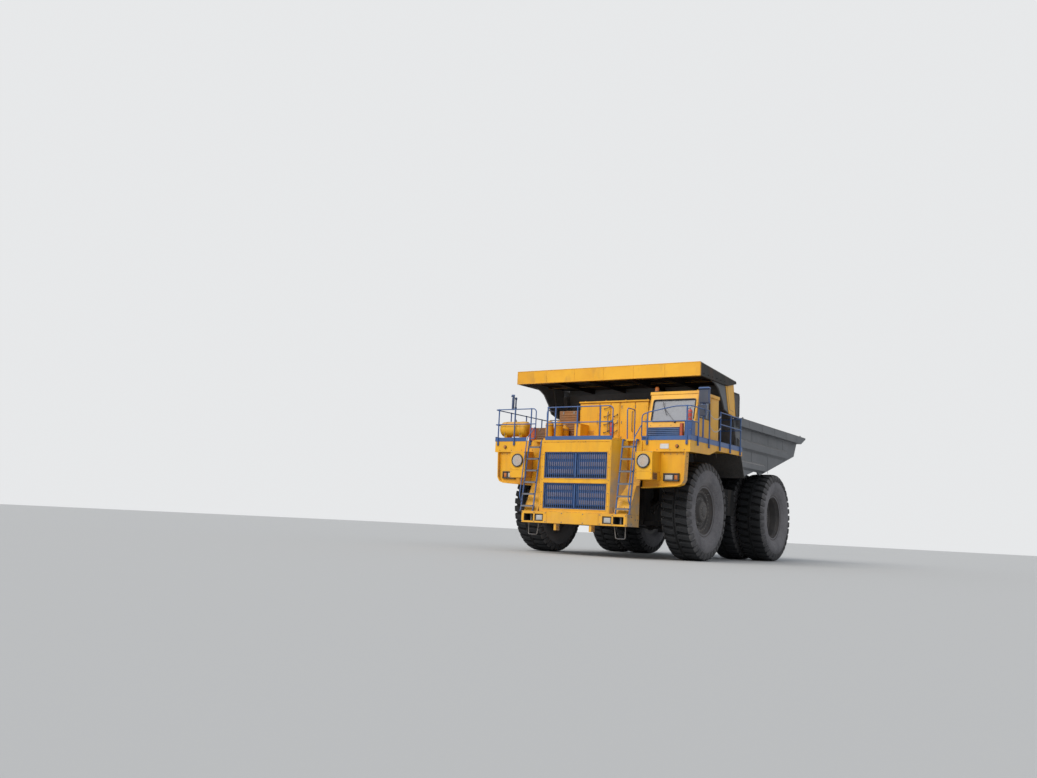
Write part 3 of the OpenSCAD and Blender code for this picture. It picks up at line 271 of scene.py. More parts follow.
# Canopy: yellow front lip; underneath and along the sides black paint made near black as painted shade, with
# faint rust on the ribs; dust on top
def makeCanopyPaint():
    look = {"lipBack": -4.125, "yellow": (0.88, 0.44, 0.016), "fadedYellow": (0.78, 0.36, 0.012),
            "stain": (0.3, 0.17, 0.05), "underBlackAndShade": (0.01, 0.01, 0.01), "rust": (0.05, 0.022, 0.012),
            "dust": (0.33, 0.31, 0.28), "chips": (0.12, 0.06, 0.03)}
    tree, shader, here, normal = startFinish("canopyPaint")
    axes, facing = splitAxes(tree, here), splitAxes(tree, normal)
    # Near black under the canopy and on its sides: black paint and painted shade
    under = blendColour(tree, patches(tree, here, 1.7, 0.45, 0.8), look["underBlackAndShade"], look["rust"])
    lip = blendColour(tree, patches(tree, here, 0.8, 0.4, 0.62), look["yellow"], look["fadedYellow"])
    stain = times(tree, patches(tree, here, 2.4, 0.56, 0.7, (1, 1, 0.35)), 0.35)
    lip = blendColour(tree, stain, lip, look["stain"])
    isLip = spread(tree, axes[1], look["lipBack"] + 0.004, look["lipBack"] - 0.004)
    colour = blendColour(tree, isLip, under, lip)
    up = times(tree, spread(tree, facing[2], 0.3, 0.9), patches(tree, here, 2.2, -0.5, 0.6))
    colour = blendColour(tree, times(tree, up, 0.8), colour, look["dust"])
    worn = times(tree, edgeMask(tree, 0.03), patches(tree, here, 6, 0.5, 0.62))
    colour = blendColour(tree, times(tree, worn, 0.7), colour, look["chips"])
    setInputs(tree, shader, {
        "Base Color": colour,
        "Roughness": spread(tree, up, 0, 1, 0.45, 0.9),
        "Specular IOR Level": spread(tree, isLip, 0, 1, 0.12, 0.45),
    })
    waves = addNode(tree, "ShaderNodeTexNoise", {"Vector": here, "Scale": 1.2, "Detail": 3})
    roughSurface(tree, shader, waves.outputs["Fac"], 0.5, 0.05, 0.01)


makeCanopyPaint()


# Rubber: black, with grey dust on the walls; in the tread the lugs and the floor between them are darker
# still as painted shade, the shoulder lugs lighter as painted light and dust
def makeRubber(name, look):
    tree, shader, here = startFinish(name)[:3]
    colour = blendColour(tree, patches(tree, here, 3.0, 0.35, 0.65), look["dark"], look["worn"])
    dust = times(tree, patches(tree, here, 1.6, 0.2, 0.6), look["dust"])
    fine = times(tree, patches(tree, here, 22.0, 0.35, 0.7), look["dust"] * 0.6)
    colour = blendColour(tree, combine(tree, "ADD", dust, fine), colour, look["dustColour"])
    if "edges" in look:
        colour = blendColour(tree, times(tree, edgeMask(tree, 0.035), look["edges"]), colour,
                             look["dustColour"])
    setInputs(tree, shader, {"Base Color": colour, "Roughness": 0.85, "Specular IOR Level": 0.25})
    grit = addNode(tree, "ShaderNodeTexNoise", {"Vector": here, "Scale": 45.0, "Detail": 6})
    roughSurface(tree, shader, grit.outputs["Fac"], look.get("grit", 0.35), 0.01, look.get("edge", 0.01))


rubbers = {
    "wallRubber": {"dark": (0.075, 0.075, 0.082), "worn": (0.115, 0.112, 0.118), "dust": 0.8,
                   "dustColour": (0.2, 0.19, 0.195), "grit": 0.2},
    # Lugs in the middle of the tread: black rubber darkened further as painted shade
    "lugRubberShaded": {"dark": (0.008, 0.009, 0.011), "worn": (0.015, 0.016, 0.018), "dust": 0.25,
                  "dustColour": (0.06, 0.06, 0.062), "edges": 0.35, "edge": 0.02},
    # Shoulder lugs: lighter rubber as painted light, with dust
    "shoulderRubberLitAndDusty": {"dark": (0.022, 0.023, 0.026), "worn": (0.04, 0.04, 0.043), "dust": 0.6,
                       "dustColour": (0.13, 0.125, 0.125), "edges": 0.6, "edge": 0.02},
    # Tread floor: near-black rubber as painted shade
    "grooveRubberShaded": {"dark": (0.006, 0.007, 0.008), "worn": (0.012, 0.012, 0.013), "dust": 0.25,
                     "dustColour": (0.04, 0.04, 0.041)},
    "flapRubber": {"dark": (0.014, 0.014, 0.015), "worn": (0.03, 0.029, 0.028), "dust": 0.5,
                   "dustColour": (0.1, 0.095, 0.09), "edge": 0.006},
}
for name, look in rubbers.items():
    makeRubber(name, look)


# Dusty glass, lamp lenses and mirrors
def makeGlass(name, look):
    tree, shader, here = startFinish(name)[:3]
    dust = times(tree, patches(tree, here, look["scale"], 0.3, 0.75), look["dust"])
    setInputs(tree, shader, {
        "Base Color": blendColour(tree, dust, look["tint"], look["dustColour"]),
        "Roughness": spread(tree, dust, 0, 1, look.get("rough", 0.05), 0.6),
        "Metallic": look.get("metal", 0.0),
        "IOR": 1.45,
    })
    if "clear" in look:
        setInputs(tree, shader, {"Alpha": spread(tree, dust, 0, 1, 1 - look["clear"], 0.95)})
    if "ribs" in look:
        ribs = addNode(tree, "ShaderNodeTexWave", {"Vector": here, "Scale": look["ribs"], "Distortion": 0.4})
        roughSurface(tree, shader, ribs.outputs["Fac"], 0.5, 0.006, 0)


glasses = {
    "dustyGlass": {"tint": (0.24, 0.25, 0.28), "dustColour": (0.38, 0.39, 0.42), "dust": 0.9, "clear": 0.28,
                   "rough": 0.12, "scale": 0.9},
    "headlampGlass": {"tint": (0.66, 0.66, 0.66), "dustColour": (0.42, 0.41, 0.4), "dust": 0.35,
                      "clear": 0.68, "ribs": 9.0, "scale": 5.0},
    "lampReflector": {"tint": (0.75, 0.75, 0.76), "dustColour": (0.45, 0.44, 0.43), "dust": 0.35,
                      "metal": 0.5, "rough": 0.12, "scale": 6.0},
    "whiteLens": {"tint": (0.55, 0.54, 0.52), "dustColour": (0.32, 0.31, 0.29), "dust": 0.5, "ribs": 22.0,
                  "rough": 0.15, "scale": 5.0},
    "amberLens": {"tint": (0.62, 0.17, 0.02), "dustColour": (0.3, 0.2, 0.13), "dust": 0.4, "ribs": 22.0,
                  "rough": 0.15, "scale": 5.0},
    "redLens": {"tint": (0.42, 0.02, 0.015), "dustColour": (0.25, 0.14, 0.11), "dust": 0.4, "ribs": 22.0,
                "rough": 0.15, "scale": 5.0},
    "mirrorGlass": {"tint": (0.72, 0.74, 0.76), "dustColour": (0.4, 0.4, 0.4), "dust": 0.3, "metal": 1.0,
                    "rough": 0.03, "scale": 3.0},
}
for name, look in glasses.items():
    makeGlass(name, look)


# Seat cloth with a small weave
def makeCloth():
    look = {"thread": (0.035, 0.036, 0.045), "gap": (0.012, 0.012, 0.016), "worn": (0.1, 0.095, 0.09),
            "scale": 160.0}
    tree, shader, here = startFinish("seatCloth")[:3]
    weave = addNode(tree, "ShaderNodeTexChecker", {"Vector": here, "Scale": look["scale"]}).outputs["Fac"]
    colour = blendColour(tree, weave, look["gap"], look["thread"])
    colour = blendColour(tree, times(tree, patches(tree, here, 4.0), 0.35), colour, look["worn"])
    setInputs(tree, shader, {"Base Color": colour, "Roughness": 0.9, "Sheen Weight": 0.3})
    roughSurface(tree, shader, weave, 0.3, 0.002, 0)


makeCloth()
print("finishes made:", len(finishes))


# Shapes go into one mesh per piece; m says which of the piece's finishes a shape takes

def markFaces(made, m):
    for face in made:
        face.material_index = m
    return made


def closeShape(bm, made, m, bevel):
    markFaces(made, m)
    if bevel:
        edges = list({edge for face in made for edge in face.edges})
        bmesh.ops.bevel(bm, geom=edges, offset=bevel, segments=1, profile=0.5, affect="EDGES",
                        clamp_overlap=True)


def addBox(bm, low, high, m=0, bevel=0.0):
    xs, ys, zs = (sorted(pair) for pair in zip(low, high))
    corners = [bm.verts.new((x, y, z)) for z in zs for y in ys for x in xs]
    sides = ((0, 2, 3, 1), (4, 5, 7, 6), (0, 1, 5, 4), (2, 6, 7, 3), (0, 4, 6, 2), (1, 3, 7, 5))
    closeShape(bm, [bm.faces.new([corners[i] for i in ring]) for ring in sides], m, bevel)


# Four bars round an opening in the plane of X and Z, the upright ones first in wide
def addFrame(bm, x0, x1, z0, z1, wide, y0, y1, m, bevel):
    stile, rail = wide
    for a, b, c, d in ((x0, x1, z0, z0 + rail), (x0, x1, z1 - rail, z1), (x0, x0 + stile, z0, z1),
                       (x1 - stile, x1, z0, z1)):
        addBox(bm, (a, y0, c), (b, y1, d), m, bevel)


# A flat outline made solid between two places on one axis: x takes (y, z), y takes (x, z)
def addPlate(bm, axis, start, end, outline, m=0, bevel=0.0):
    place = {"x": lambda p, d: (d, *p), "y": lambda p, d: (p[0], d, p[1])}[axis]
    front, back = ([bm.verts.new(place(p, d)) for p in outline] for d in (start, end))
    made = [bm.faces.new(front), bm.faces.new(back)]
    for i in range(len(outline)):
        made.append(bm.faces.new((front[i - 1], front[i], back[i], back[i - 1])))
    closeShape(bm, made, m, bevel)


def sideways(direction):
    helper = Vector((0, 0, 1)) if abs(direction.z) < 0.9 else Vector((1, 0, 0))
    across = direction.cross(helper).normalized()
    return across, across.cross(direction).normalized()


# Rings at given places and radii along an axis, closed to a solid
def addTurned(bm, centre, axis, profile, sides=48, m=0, closed=False, start=0.0, span=2 * pi):
    axis, centre = Vector(axis).normalized(), Vector(centre)
    across, over = sideways(axis)
    whole = span == 2 * pi
    steps = sides if whole else sides + 1
    turns = [start + span * i / sides for i in range(steps)]
    rings = []
    for along, radius in profile:
        around = [across * cos(a) + over * sin(a) for a in turns] if radius > 1e-5 else [axis]
        rings.append([bm.verts.new(centre + axis * along + radius * ray) for ray in around])
    made = []
    for a, b in zip(rings, rings[1:] + rings[:1] if closed else rings[1:]):
        for i in range(sides):
            j = (i + 1) % steps
            corners = (a[i % len(a)], b[i % len(b)], b[j % len(b)], a[j % len(a)])
            corners = list(dict.fromkeys(corners))  # three at a tip, two between tips
            if len(corners) > 2:
                made.append(bm.faces.new(corners))
    if not whole:
        made += [bm.faces.new([ring[end] for ring in rings]) for end in (0, -1)]
    elif not closed:
        made += [bm.faces.new(ring) for ring in (rings[0], rings[-1]) if len(ring) > 2]
    return markFaces(made, m)


def addBar(bm, start, end, radius, m=0, sides=16):
    along = Vector(end) - Vector(start)
    addTurned(bm, start, along, [(0, radius), (along.length, radius)], sides, m)


# A flat ring round an axis
def addBand(bm, centre, axis, inner, outer, width, sides=36, m=0, start=0.0):
    end = start + width
    profile = [(start, inner), (start, outer), (end, outer), (end, inner)]
    addTurned(bm, centre, axis, profile, sides, m, closed=True)


# Corners of a path rounded off
def roundPath(points, reach, steps=4):
    points = [Vector(p) for p in points]
    path = [points[0]]
    for before, corner, after in zip(points, points[1:], points[2:]):
        inward, outward = before - corner, after - corner
        near = min(reach, inward.length * 0.45, outward.length * 0.45)
        first, last = corner + inward.normalized() * near, corner + outward.normalized() * near
        for i in range(steps + 1):
            t = i / steps
            path.append((1 - t) ** 2 * first + 2 * t * (1 - t) * corner + t * t * last)
    return path + [points[-1]]


def addTube(bm, path, radius, m=0, sides=8, flat=1.0):
    path = [Vector(p) for p in path]
    path = [p for i, p in enumerate(path) if i == 0 or (p - path[i - 1]).length > 1e-5]
    over = sideways((path[1] - path[0]).normalized())[1]
    turns = [2 * pi * k / sides for k in range(sides)]
    rings = []
    for i, point in enumerate(path):
        ahead = (path[min(i + 1, len(path) - 1)] - path[max(i - 1, 0)]).normalized()
        over = (over - ahead * over.dot(ahead)).normalized()
        across = ahead.cross(over)
        rings.append([bm.verts.new(point + radius * (across * cos(a) + flat * over * sin(a))) for a in turns])
    made = [bm.faces.new(rings[0]), bm.faces.new(rings[-1])]
    for a, b in zip(rings, rings[1:]):
        made += [bm.faces.new((a[k - 1], a[k], b[k], b[k - 1])) for k in range(sides)]
    markFaces(made, m)


# A tube with rounded corners
def addPipe(bm, points, reach, radius, m=0, sides=8, flat=1.0, steps=4):
    addTube(bm, roundPath(points, reach, steps), radius, m, sides, flat)


# A rubber section all round a window
def addGasket(bm, corners, reach, radius, sides=8, flat=1.0, steps=4):
    addTube(bm, roundPath(corners + corners[:2], reach, steps)[steps + 1:], radius, 0, sides, flat)


# Six-sided bolt heads on washers
def addBolts(bm, places, facing, size=0.018, m=0, washer=True):
    facing = Vector(facing).normalized()
    for place in places:
        place = Vector(place)
        if washer:
            addTurned(bm, place - facing * 0.003, facing, [(0, size * 1.3), (0.006, size * 1.3)], 12, m)
        addTurned(bm, place, facing, [(0, size), (size * 0.9, size), (size * 1.1, size * 0.75)], 6, m)


def ringPlaces(centre, axis, radius, count, start=0.0):
    across, over = sideways(Vector(axis).normalized())
    turns = [start + 2 * pi * i / count for i in range(count)]
    return [Vector(centre) + radius * (across * cos(a) + over * sin(a)) for a in turns]


def rowPlaces(start, end, count):
    return [Vector(start).lerp(Vector(end), i / (count - 1)) for i in range(count)]


# Everything in the mesh so far, once more on the other side
def mirrorAcross(bm):
    twins = {vert: bm.verts.new((-vert.co.x, *vert.co.yz)) for vert in list(bm.verts)}
    for face in list(bm.faces):
        twin = bm.faces.new([twins[vert] for vert in reversed(face.verts)])
        twin.material_index = face.material_index


def sideName(side):
    return "left" if side > 0 else "right"


def makePiece(bm, name, body, looks, smooth=35, stands=()):
    bmesh.ops.recalc_face_normals(bm, faces=bm.faces)
    bmesh.ops.translate(bm, verts=bm.verts, vec=(0, frontAxle, 0))
    mesh = bpy.data.meshes.new(name)
    bm.to_mesh(mesh)
    bm.free()
    mesh.shade_smooth()
    mesh.set_sharp_from_angle(angle=radians(smooth))
    for look in looks:
        mesh.materials.append(finishes[look])
    piece = bpy.data.objects.new(name, mesh)
    scene.collection.objects.link(piece)
    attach(piece, body)
    if stands:
        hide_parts(*stands)
    return piece


# Finishes of the CAD nodes; what isn't named here is frame
nodeLooks = {
    "yellowPaint": "front_bumper radiator_shell front_fenders deck cab_shell cab_door equipment_cabinet "
                   "air_tank",
    "bluePaint": "front_louvre mirrors railings ladders",
    "grilleBlue": "grille",
    "bodySteel": "body_floor body_sides body_front",
    "canopyPaint": "body_canopy",
    "rustPaint": "deck_boxes",
    "redPaint": "fire_gear",
    "dustyGlass": "cab_glass door_glass",
    "amberLens": "marker_lamps beacon",
    "headlampGlass": "headlamps",
    "blackPlastic": "cab_controls",
    "seatCloth": "cab_seat",
    "flapRubber": "mud_guards",
    "rodChrome": "hoist_rod_left hoist_rod_right",
    "rimPaint": "rim_front_left rim_front_right rims_rear_left rims_rear_right",
    "lugRubberShaded": "tyre_front_left tyre_front_right tyres_rear_left tyres_rear_right",
}
lookOf = {name: look for look, names in nodeLooks.items() for name in names.split()}
for name, node in nodes.items():
    node.data.materials.clear()
    node.data.materials.append(finishes[lookOf.get(name, "framePaint")])
print("node finishes set")


# Floor, sky and lamps

def standFloor():
    look = {"colour": (0.5, 0.5, 0.495), "half": 150.0}
    tree, shader = startFinish("paleFloor")[:2]
    setInputs(tree, shader,
              {"Base Color": (*look["colour"], 1), "Roughness": 0.95, "Specular IOR Level": 0.1})
    bm = bmesh.new()
    half = look["half"]
    corners = ((-half, -half), (half, -half), (half, half), (-half, half))
    bm.faces.new([bm.verts.new((x, y, 0)) for x, y in corners])
    mesh = bpy.data.meshes.new("floor")
    bm.to_mesh(mesh)
    bm.free()
    mesh.materials.append(finishes["paleFloor"])
    floor = bpy.data.objects.new("floor", mesh)
    scene.collection.objects.link(floor)


def lightScene():
    look = {"sky": (0.8, 0.86, 0.95), "skyStrength": 0.62, "seen": (0.8, 0.81, 0.82), "sun": 2.3,
            "sunSpread": 45, "sunTurn": (48, 0, -12), "sunColour": (1.0, 0.97, 0.92)}
    world = bpy.data.worlds.new("paleSky")
    scene.world = world
    world.use_nodes = True
    tree = world.node_tree
    tree.nodes.clear()
    lit = addNode(tree, "ShaderNodeBackground", {"Color": (*look["sky"], 1), "Strength": look["skyStrength"]})
    seen = addNode(tree, "ShaderNodeBackground", {"Color": (*look["seen"], 1), "Strength": 1.0})
    ray = addNode(tree, "ShaderNodeLightPath").outputs
    shown = combine(tree, "MAXIMUM", ray["Is Camera Ray"], ray["Is Glossy Ray"])
    shown = combine(tree, "MAXIMUM", shown, ray["Is Transmission Ray"])
    mixed = addNode(tree, "ShaderNodeMixShader", {0: shown, 1: lit.outputs[0], 2: seen.outputs[0]})
    addNode(tree, "ShaderNodeOutputWorld", {0: mixed.outputs[0]})
    sun = bpy.data.lights.new("softSun", "SUN")
    sun.energy, sun.angle, sun.color = look["sun"], radians(look["sunSpread"]), look["sunColour"]
    lamp = bpy.data.objects.new("softSun", sun)
    lamp.rotation_euler = [radians(a) for a in look["sunTurn"]]
    scene.collection.objects.link(lamp)


standFloor()
lightScene()
print("floor and light set")


# Tyres: a turned casing with two staggered rings of lugs

tyre = {
    "halfWidth": 0.465,
    "lugs": 36,
    "grooveDepth": 0.075,
    "curve": 0.055,     # how far a lug leans round from the middle to the shoulder
    "rib": 0.055,       # half width of the middle rib
    "shoulderRow": 4,   # from this row on a lug is shoulder
    "frontFace": 3.06,  # outer faces of the wheels, from the truck's middle
    "rearFace": 3.3,
    "twinGap": 0.09,
}
frontX = tyre["frontFace"] - tyre["halfWidth"]
outerX = tyre["rearFace"] - tyre["halfWidth"]
innerX = outerX - 2 * tyre["halfWidth"] - tyre["twinGap"]


def addLug(bm, centre, side, angle):
    radius, groove = axleHeight, axleHeight - tyre["grooveDepth"]
    pitch = 2 * pi / tyre["lugs"]
    # Across from the middle, radius of the top, radius of the foot, share of the pitch at the foot
    rows = [(tyre["rib"] - 0.01, radius - 0.004, groove - 0.02, 0.3),
            (0.14, radius - 0.002, groove - 0.02, 0.33), (0.25, radius - 0.004, groove - 0.02, 0.36),
            (0.345, radius - 0.014, groove - 0.03, 0.385), (0.392, radius - 0.03, groove - 0.05, 0.39),
            (0.425, radius - 0.085, radius - 0.15, 0.38), (0.448, radius - 0.16, radius - 0.215, 0.36),
            (0.459, radius - 0.235, radius - 0.262, 0.3)]
    rings = []
    for row, (across, top, foot, share) in enumerate(rows):
        lean = tyre["curve"] * (across / tyre["halfWidth"]) ** 1.6
        half = pitch * share
        ring = []
        for turn, r, out in ((-half, foot, 0), (-half * 0.84, top - 0.01, 0.006), (-half * 0.7, top, 0.01),
                             (half * 0.7, top, 0.01), (half * 0.84, top - 0.01, 0.006), (half, foot, 0)):
            a = angle + lean * side + turn
            reach = across
            if row > tyre["shoulderRow"]:
                reach += out if r > foot else -0.035
            x = centre[0] + side * min(reach, tyre["halfWidth"] - 0.002)
            ring.append(bm.verts.new((x, centre[1] + r * cos(a), radius + r * sin(a))))
        rings.append(ring)
    for row, (a, b) in enumerate(zip(rings, rings[1:])):
        made = [bm.faces.new((a[k], a[k + 1], b[k + 1], b[k])) for k in range(5)]
        # Middle rows take rubber darkened as painted shade, shoulder rows rubber lightened as painted light
        # and dust
        markFaces(made, 2 if row < tyre["shoulderRow"] else 3)
    markFaces([bm.faces.new(rings[0])], 2)
    markFaces([bm.faces.new(rings[-1])], 3)


def addTyre(bm, x, y, wear):
    radius, half = axleHeight, tyre["halfWidth"]
    centre = (x, y, radius)
    foot = radius - tyre["grooveDepth"]
    # From the middle of the tread over the shoulder, swell, scuff ring and rim guard to the bead
    outline = [(0.006, radius - 0.035), (0.012, radius - 0.004), (tyre["rib"], radius - 0.012),
               (tyre["rib"] + 0.02, foot), (0.3, foot), (0.36, foot - 0.03), (0.405, foot - 0.09),
               (0.433, foot - 0.16), (0.446, foot - 0.215), (0.452, foot - 0.225), (0.456, foot - 0.25),
               (0.462, 1.1), (half - 0.001, 1.06), (0.462, 1.02), (0.452, 0.985), (0.447, 0.975),
               (0.447, 0.965), (0.43, 0.93), (0.424, 0.915), (0.425, 0.9), (0.402, 0.865), (0.375, 0.835),
               (0.355, 0.815), (0.345, 0.79), (0.325, 0.775), (0.315, 0.7), (0.24, 0.7), (0.27, 0.85),
               (0.36, 1.05), (0.34, 1.3)]
    loop = outline + [(-a, r) for a, r in reversed(outline)]
    for face in addTurned(bm, centre, (1, 0, 0), loop, 108, closed=True):
        middle = face.calc_center_median() - Vector(centre)
        # The tread floor and middle rib take near-black rubber, painted shade
        if hypot(middle.y, middle.z) > foot - 0.02:
            face.material_index = 1
    for side in bothSides:
        for i in range(tyre["lugs"]):
            addLug(bm, centre, side, (i + 0.25 * side + wear) * 2 * pi / tyre["lugs"])


def makeTyres():
    # Name, node, body, places across, place along
    sets = (("lugTyre_front_left", "tyre_front_left", "wheel_front_left", (frontX,), 0),
            ("lugTyre_front_right", "tyre_front_right", "wheel_front_right", (-frontX,), 0),
            ("lugTyres_rear_left", "tyres_rear_left", "wheels_rear_left", (innerX, outerX), wheelBase),
            ("lugTyres_rear_right", "tyres_rear_right", "wheels_rear_right", (-innerX, -outerX), wheelBase))
    for count, (name, node, body, places, y) in enumerate(sets):
        bm = bmesh.new()
        for k, x in enumerate(places):
            addTyre(bm, x, y, count * 0.13 + k * 0.37)
        makePiece(bm, name, body, ["wallRubber", "grooveRubberShaded", "lugRubberShaded", "shoulderRubberLitAndDusty"], 38,
                  stands=[node])


makeTyres()
print("tyres made")


# Rims, turned round the wheel's axle and measured outwards from its middle

rimFlange = [(0.3, 0.69), (0.3, 0.772), (0.312, 0.778), (0.326, 0.772), (0.329, 0.755), (0.318, 0.735),
             (0.3, 0.722)]
rimLooks = ["rimPaint", "bareSteel", "blackPlastic"]


# Front: flange, gutter, bolted ring, hub with recesses round it, and the valve
def makeFrontRim(side):
    look = {"hollow": 0.058,
            "rings": ((0.196, 0.592, 30, 0.019, 0), (0.18, 0.376, 20, 0.016, 0.1),
                      (0.302, 0.208, 16, 0.014, 0))}
    bm = bmesh.new()
    centre, out = (side * frontX, 0, axleHeight), (side, 0, 0)
    hub = [(0.285, 0.705), (0.27, 0.69), (0.225, 0.672), (0.205, 0.66), (0.19, 0.655), (0.187, 0.635),
           (0.196, 0.625), (0.196, 0.56), (0.186, 0.548), (0.15, 0.54), (0.135, 0.53), (0.12, 0.505),
           (0.118, 0.452), (0.128, 0.44), (0.17, 0.425), (0.178, 0.412), (0.18, 0.34), (0.2, 0.322),
           (0.268, 0.302), (0.284, 0.29), (0.3, 0.25), (0.303, 0.165), (0.318, 0.155), (0.325, 0.14),
           (0.327, 0.0)]
    back = [(-0.3, 0.69), (-0.3, 0.772), (-0.325, 0.772), (-0.328, 0.65), (0.04, 0.64),
            (look["hollow"], 0.56), (look["hollow"], 0.31), (-0.338, 0.3), (-0.338, 0.155), (0.055, 0.151),
            (0.055, 0.0)]
    addTurned(bm, centre, out, (rimFlange + hub)[::-1] + back, 72)
    # Rings of bolts: place along, radius, count, size, turn
    for along, radius, count, size, turn in look["rings"]:
        place = (centre[0] + side * along, 0, axleHeight)
        addBolts(bm, ringPlaces(place, out, radius, count, turn), out, size, 1)
    # Kidney-shaped recesses in the ring round the hub
    outer = [(0.11, 0.462), (0.131, 0.462), (0.133, 0.468), (0.133, 0.492), (0.128, 0.498), (0.11, 0.498)]
    inner = [(0.17, 0.35), (0.1845, 0.35), (0.1845, 0.404), (0.17, 0.404)]
    for turn in (0.35, 0.35 + pi):
        for profile, span in ((outer, 1.7), (inner, 1.5)):
            addTurned(bm, centre, out, profile, 18, 2, closed=True, start=turn, span=span)
    valve = [(0.2, 0.4, 0.5), (0.255, 0.42, 0.53), (0.3, 0.44, 0.555)]
    addPipe(bm, [(centre[0] + side * a, b, axleHeight + c) for a, b, c in valve], 0.03, 0.01, 1)
    makePiece(bm, "frontRim_" + sideName(side), "wheel_front_" + sideName(side), rimLooks, smooth=28,
              stands=["rim_front_" + sideName(side)])


# Rear: two barrels on one final drive, the outer one a deep dish
def makeRearRims(side):
    look = {"rings": ((-0.085, 0.552, 32, 0.018), (0.048, 0.225, 18, 0.013)), "windows": 3, "windowSpan": 1.1}
    bm = bmesh.new()
    centre, out = (0, wheelBase, axleHeight), (side, 0, 0)
    dish = [(0.28, 0.708), (0.262, 0.694), (0.255, 0.672), (0.205, 0.662), (0.195, 0.652), (-0.02, 0.64),
            (-0.035, 0.615), (-0.075, 0.6), (-0.085, 0.585), (-0.085, 0.52), (-0.11, 0.5), (-0.118, 0.345),
            (-0.1, 0.332), (-0.01, 0.312), (0.02, 0.29), (0.045, 0.262), (0.05, 0.19), (0.06, 0.18),
            (0.063, 0.0)]
    barrel = [(-0.3, 0.69), (-0.3, 0.775), (-0.328, 0.775), (-0.328, 0.65)]
    inner = [(0.328, 0.65), (0.328, 0.775), (0.3, 0.775), (0.3, 0.69), (-0.3, 0.69), (-0.3, 0.775),
             (-0.328, 0.775), (-0.328, 0.64), (-0.06, 0.63), (-0.045, 0.34), (-0.198, 0.328), (-0.198, 0.252)]
    profile = [(outerX + a, r) for a, r in (rimFlange + dish)[::-1] + barrel]
    profile += [(innerX + a, r) for a, r in inner]
    addTurned(bm, centre, out, profile, 72)
    for along, radius, count, size in look["rings"]:
        place = (side * (outerX + along), wheelBase, axleHeight)
        addBolts(bm, ringPlaces(place, out, radius, count), out, size, 1)
    window = [(outerX + a, r) for a, r in ((-0.14, 0.372), (-0.108, 0.372), (-0.108, 0.468), (-0.14, 0.468))]
    for i in range(look["windows"]):
        turn = 0.3 + 2 * pi * i / look["windows"]
        addTurned(bm, centre, out, window, 14, 2, closed=True, start=turn, span=look["windowSpan"])
    makePiece(bm, "rearRims_" + sideName(side), "wheels_rear_" + sideName(side), rimLooks, smooth=28,
              stands=["rims_rear_" + sideName(side)])


for side in bothSides:
    makeFrontRim(side)
    makeRearRims(side)
print("rims made")


# Front: grille, radiator shell, bumper, lamps and fenders

grilleRows = ((1.34, 2.1), (2.24, 3.02))  # low and high edge of each opening in the shell


# Grille: a frame, upright slats, broad shutter blades behind them and a dark core
def makeGrille():
    look = {"half": 1.074, "front": -2.745, "core": -2.66, "pitch": 0.0716, "slat": 0.0085, "tilt": 0.018,
            "blades": 3, "coreTubes": 28, "boltsAt": (-1.05, -0.53, 0.53, 1.05)}
    bm = bmesh.new()
    front, half, core, tilt, slat = look["front"], look["half"], look["core"], look["tilt"], look["slat"]
    for low, high in grilleRows:
        addFrame(bm, -half, half, low, high, (0.026, 0.024), front - 0.008, front + 0.04, 0, 0.004)
        addBox(bm, (-0.02, front - 0.008, low), (0.02, front + 0.04, high), bevel=0.004)
        count = int(2 * half / look["pitch"])
        for x in (-half + 2 * half * i / count for i in range(1, count)):
            if abs(x) > 0.03:  # clear of the middle bar
                addBox(bm, (x - slat, front, low + 0.02), (x + slat, front + 0.026, high - 0.02), bevel=0.003)
        # Blades, tipped a little, each half on its own frame, with an inset plate
        step = (high - low - 0.05) / (look["blades"] + 0.35)
        y = front + 0.034
        for i in range(look["blades"]):
            top = high - 0.035 - i * step
            foot = top - step + 0.02
            blade = [(y, top), (y + 0.008, top + 0.002), (y + tilt + 0.008, foot + 0.002), (y + tilt, foot)]
            inset = [(y - 0.003, top - 0.035), (y + 0.004, top - 0.035), (y + tilt, foot + 0.035),
                     (y + 0.006, foot + 0.035)]
            for side in bothSides:
                x0, x1 = side * 0.03, side * (half - 0.03)
                addPlate(bm, "x", x0, x1, blade)
                addPlate(bm, "x", side * 0.11, side * (half - 0.1), inset, 1)
                addBar(bm, (x0, y + 0.006, top), (x1, y + 0.006, top), 0.012, 0, 8)
        addBox(bm, (-half, core + 0.03, low), (half, core + 0.06, high), 2)
        for i in range(look["coreTubes"]):
            z = low + (high - low) * (i + 0.5) / look["coreTubes"]
            addBox(bm, (-half + 0.01, core + 0.018, z - 0.004), (half - 0.01, core + 0.031, z + 0.004), 2)
        for z in (low + 0.012, high - 0.012):
            addBolts(bm, [(x, front - 0.008, z) for x in look["boltsAt"]], forward, 0.009, 3)
    makePiece(bm, "grilleBars", "chassis", ["grilleBlue", "grilleBlade", "blackPlastic", "bareSteel"], 30,
              stands=["grille"])


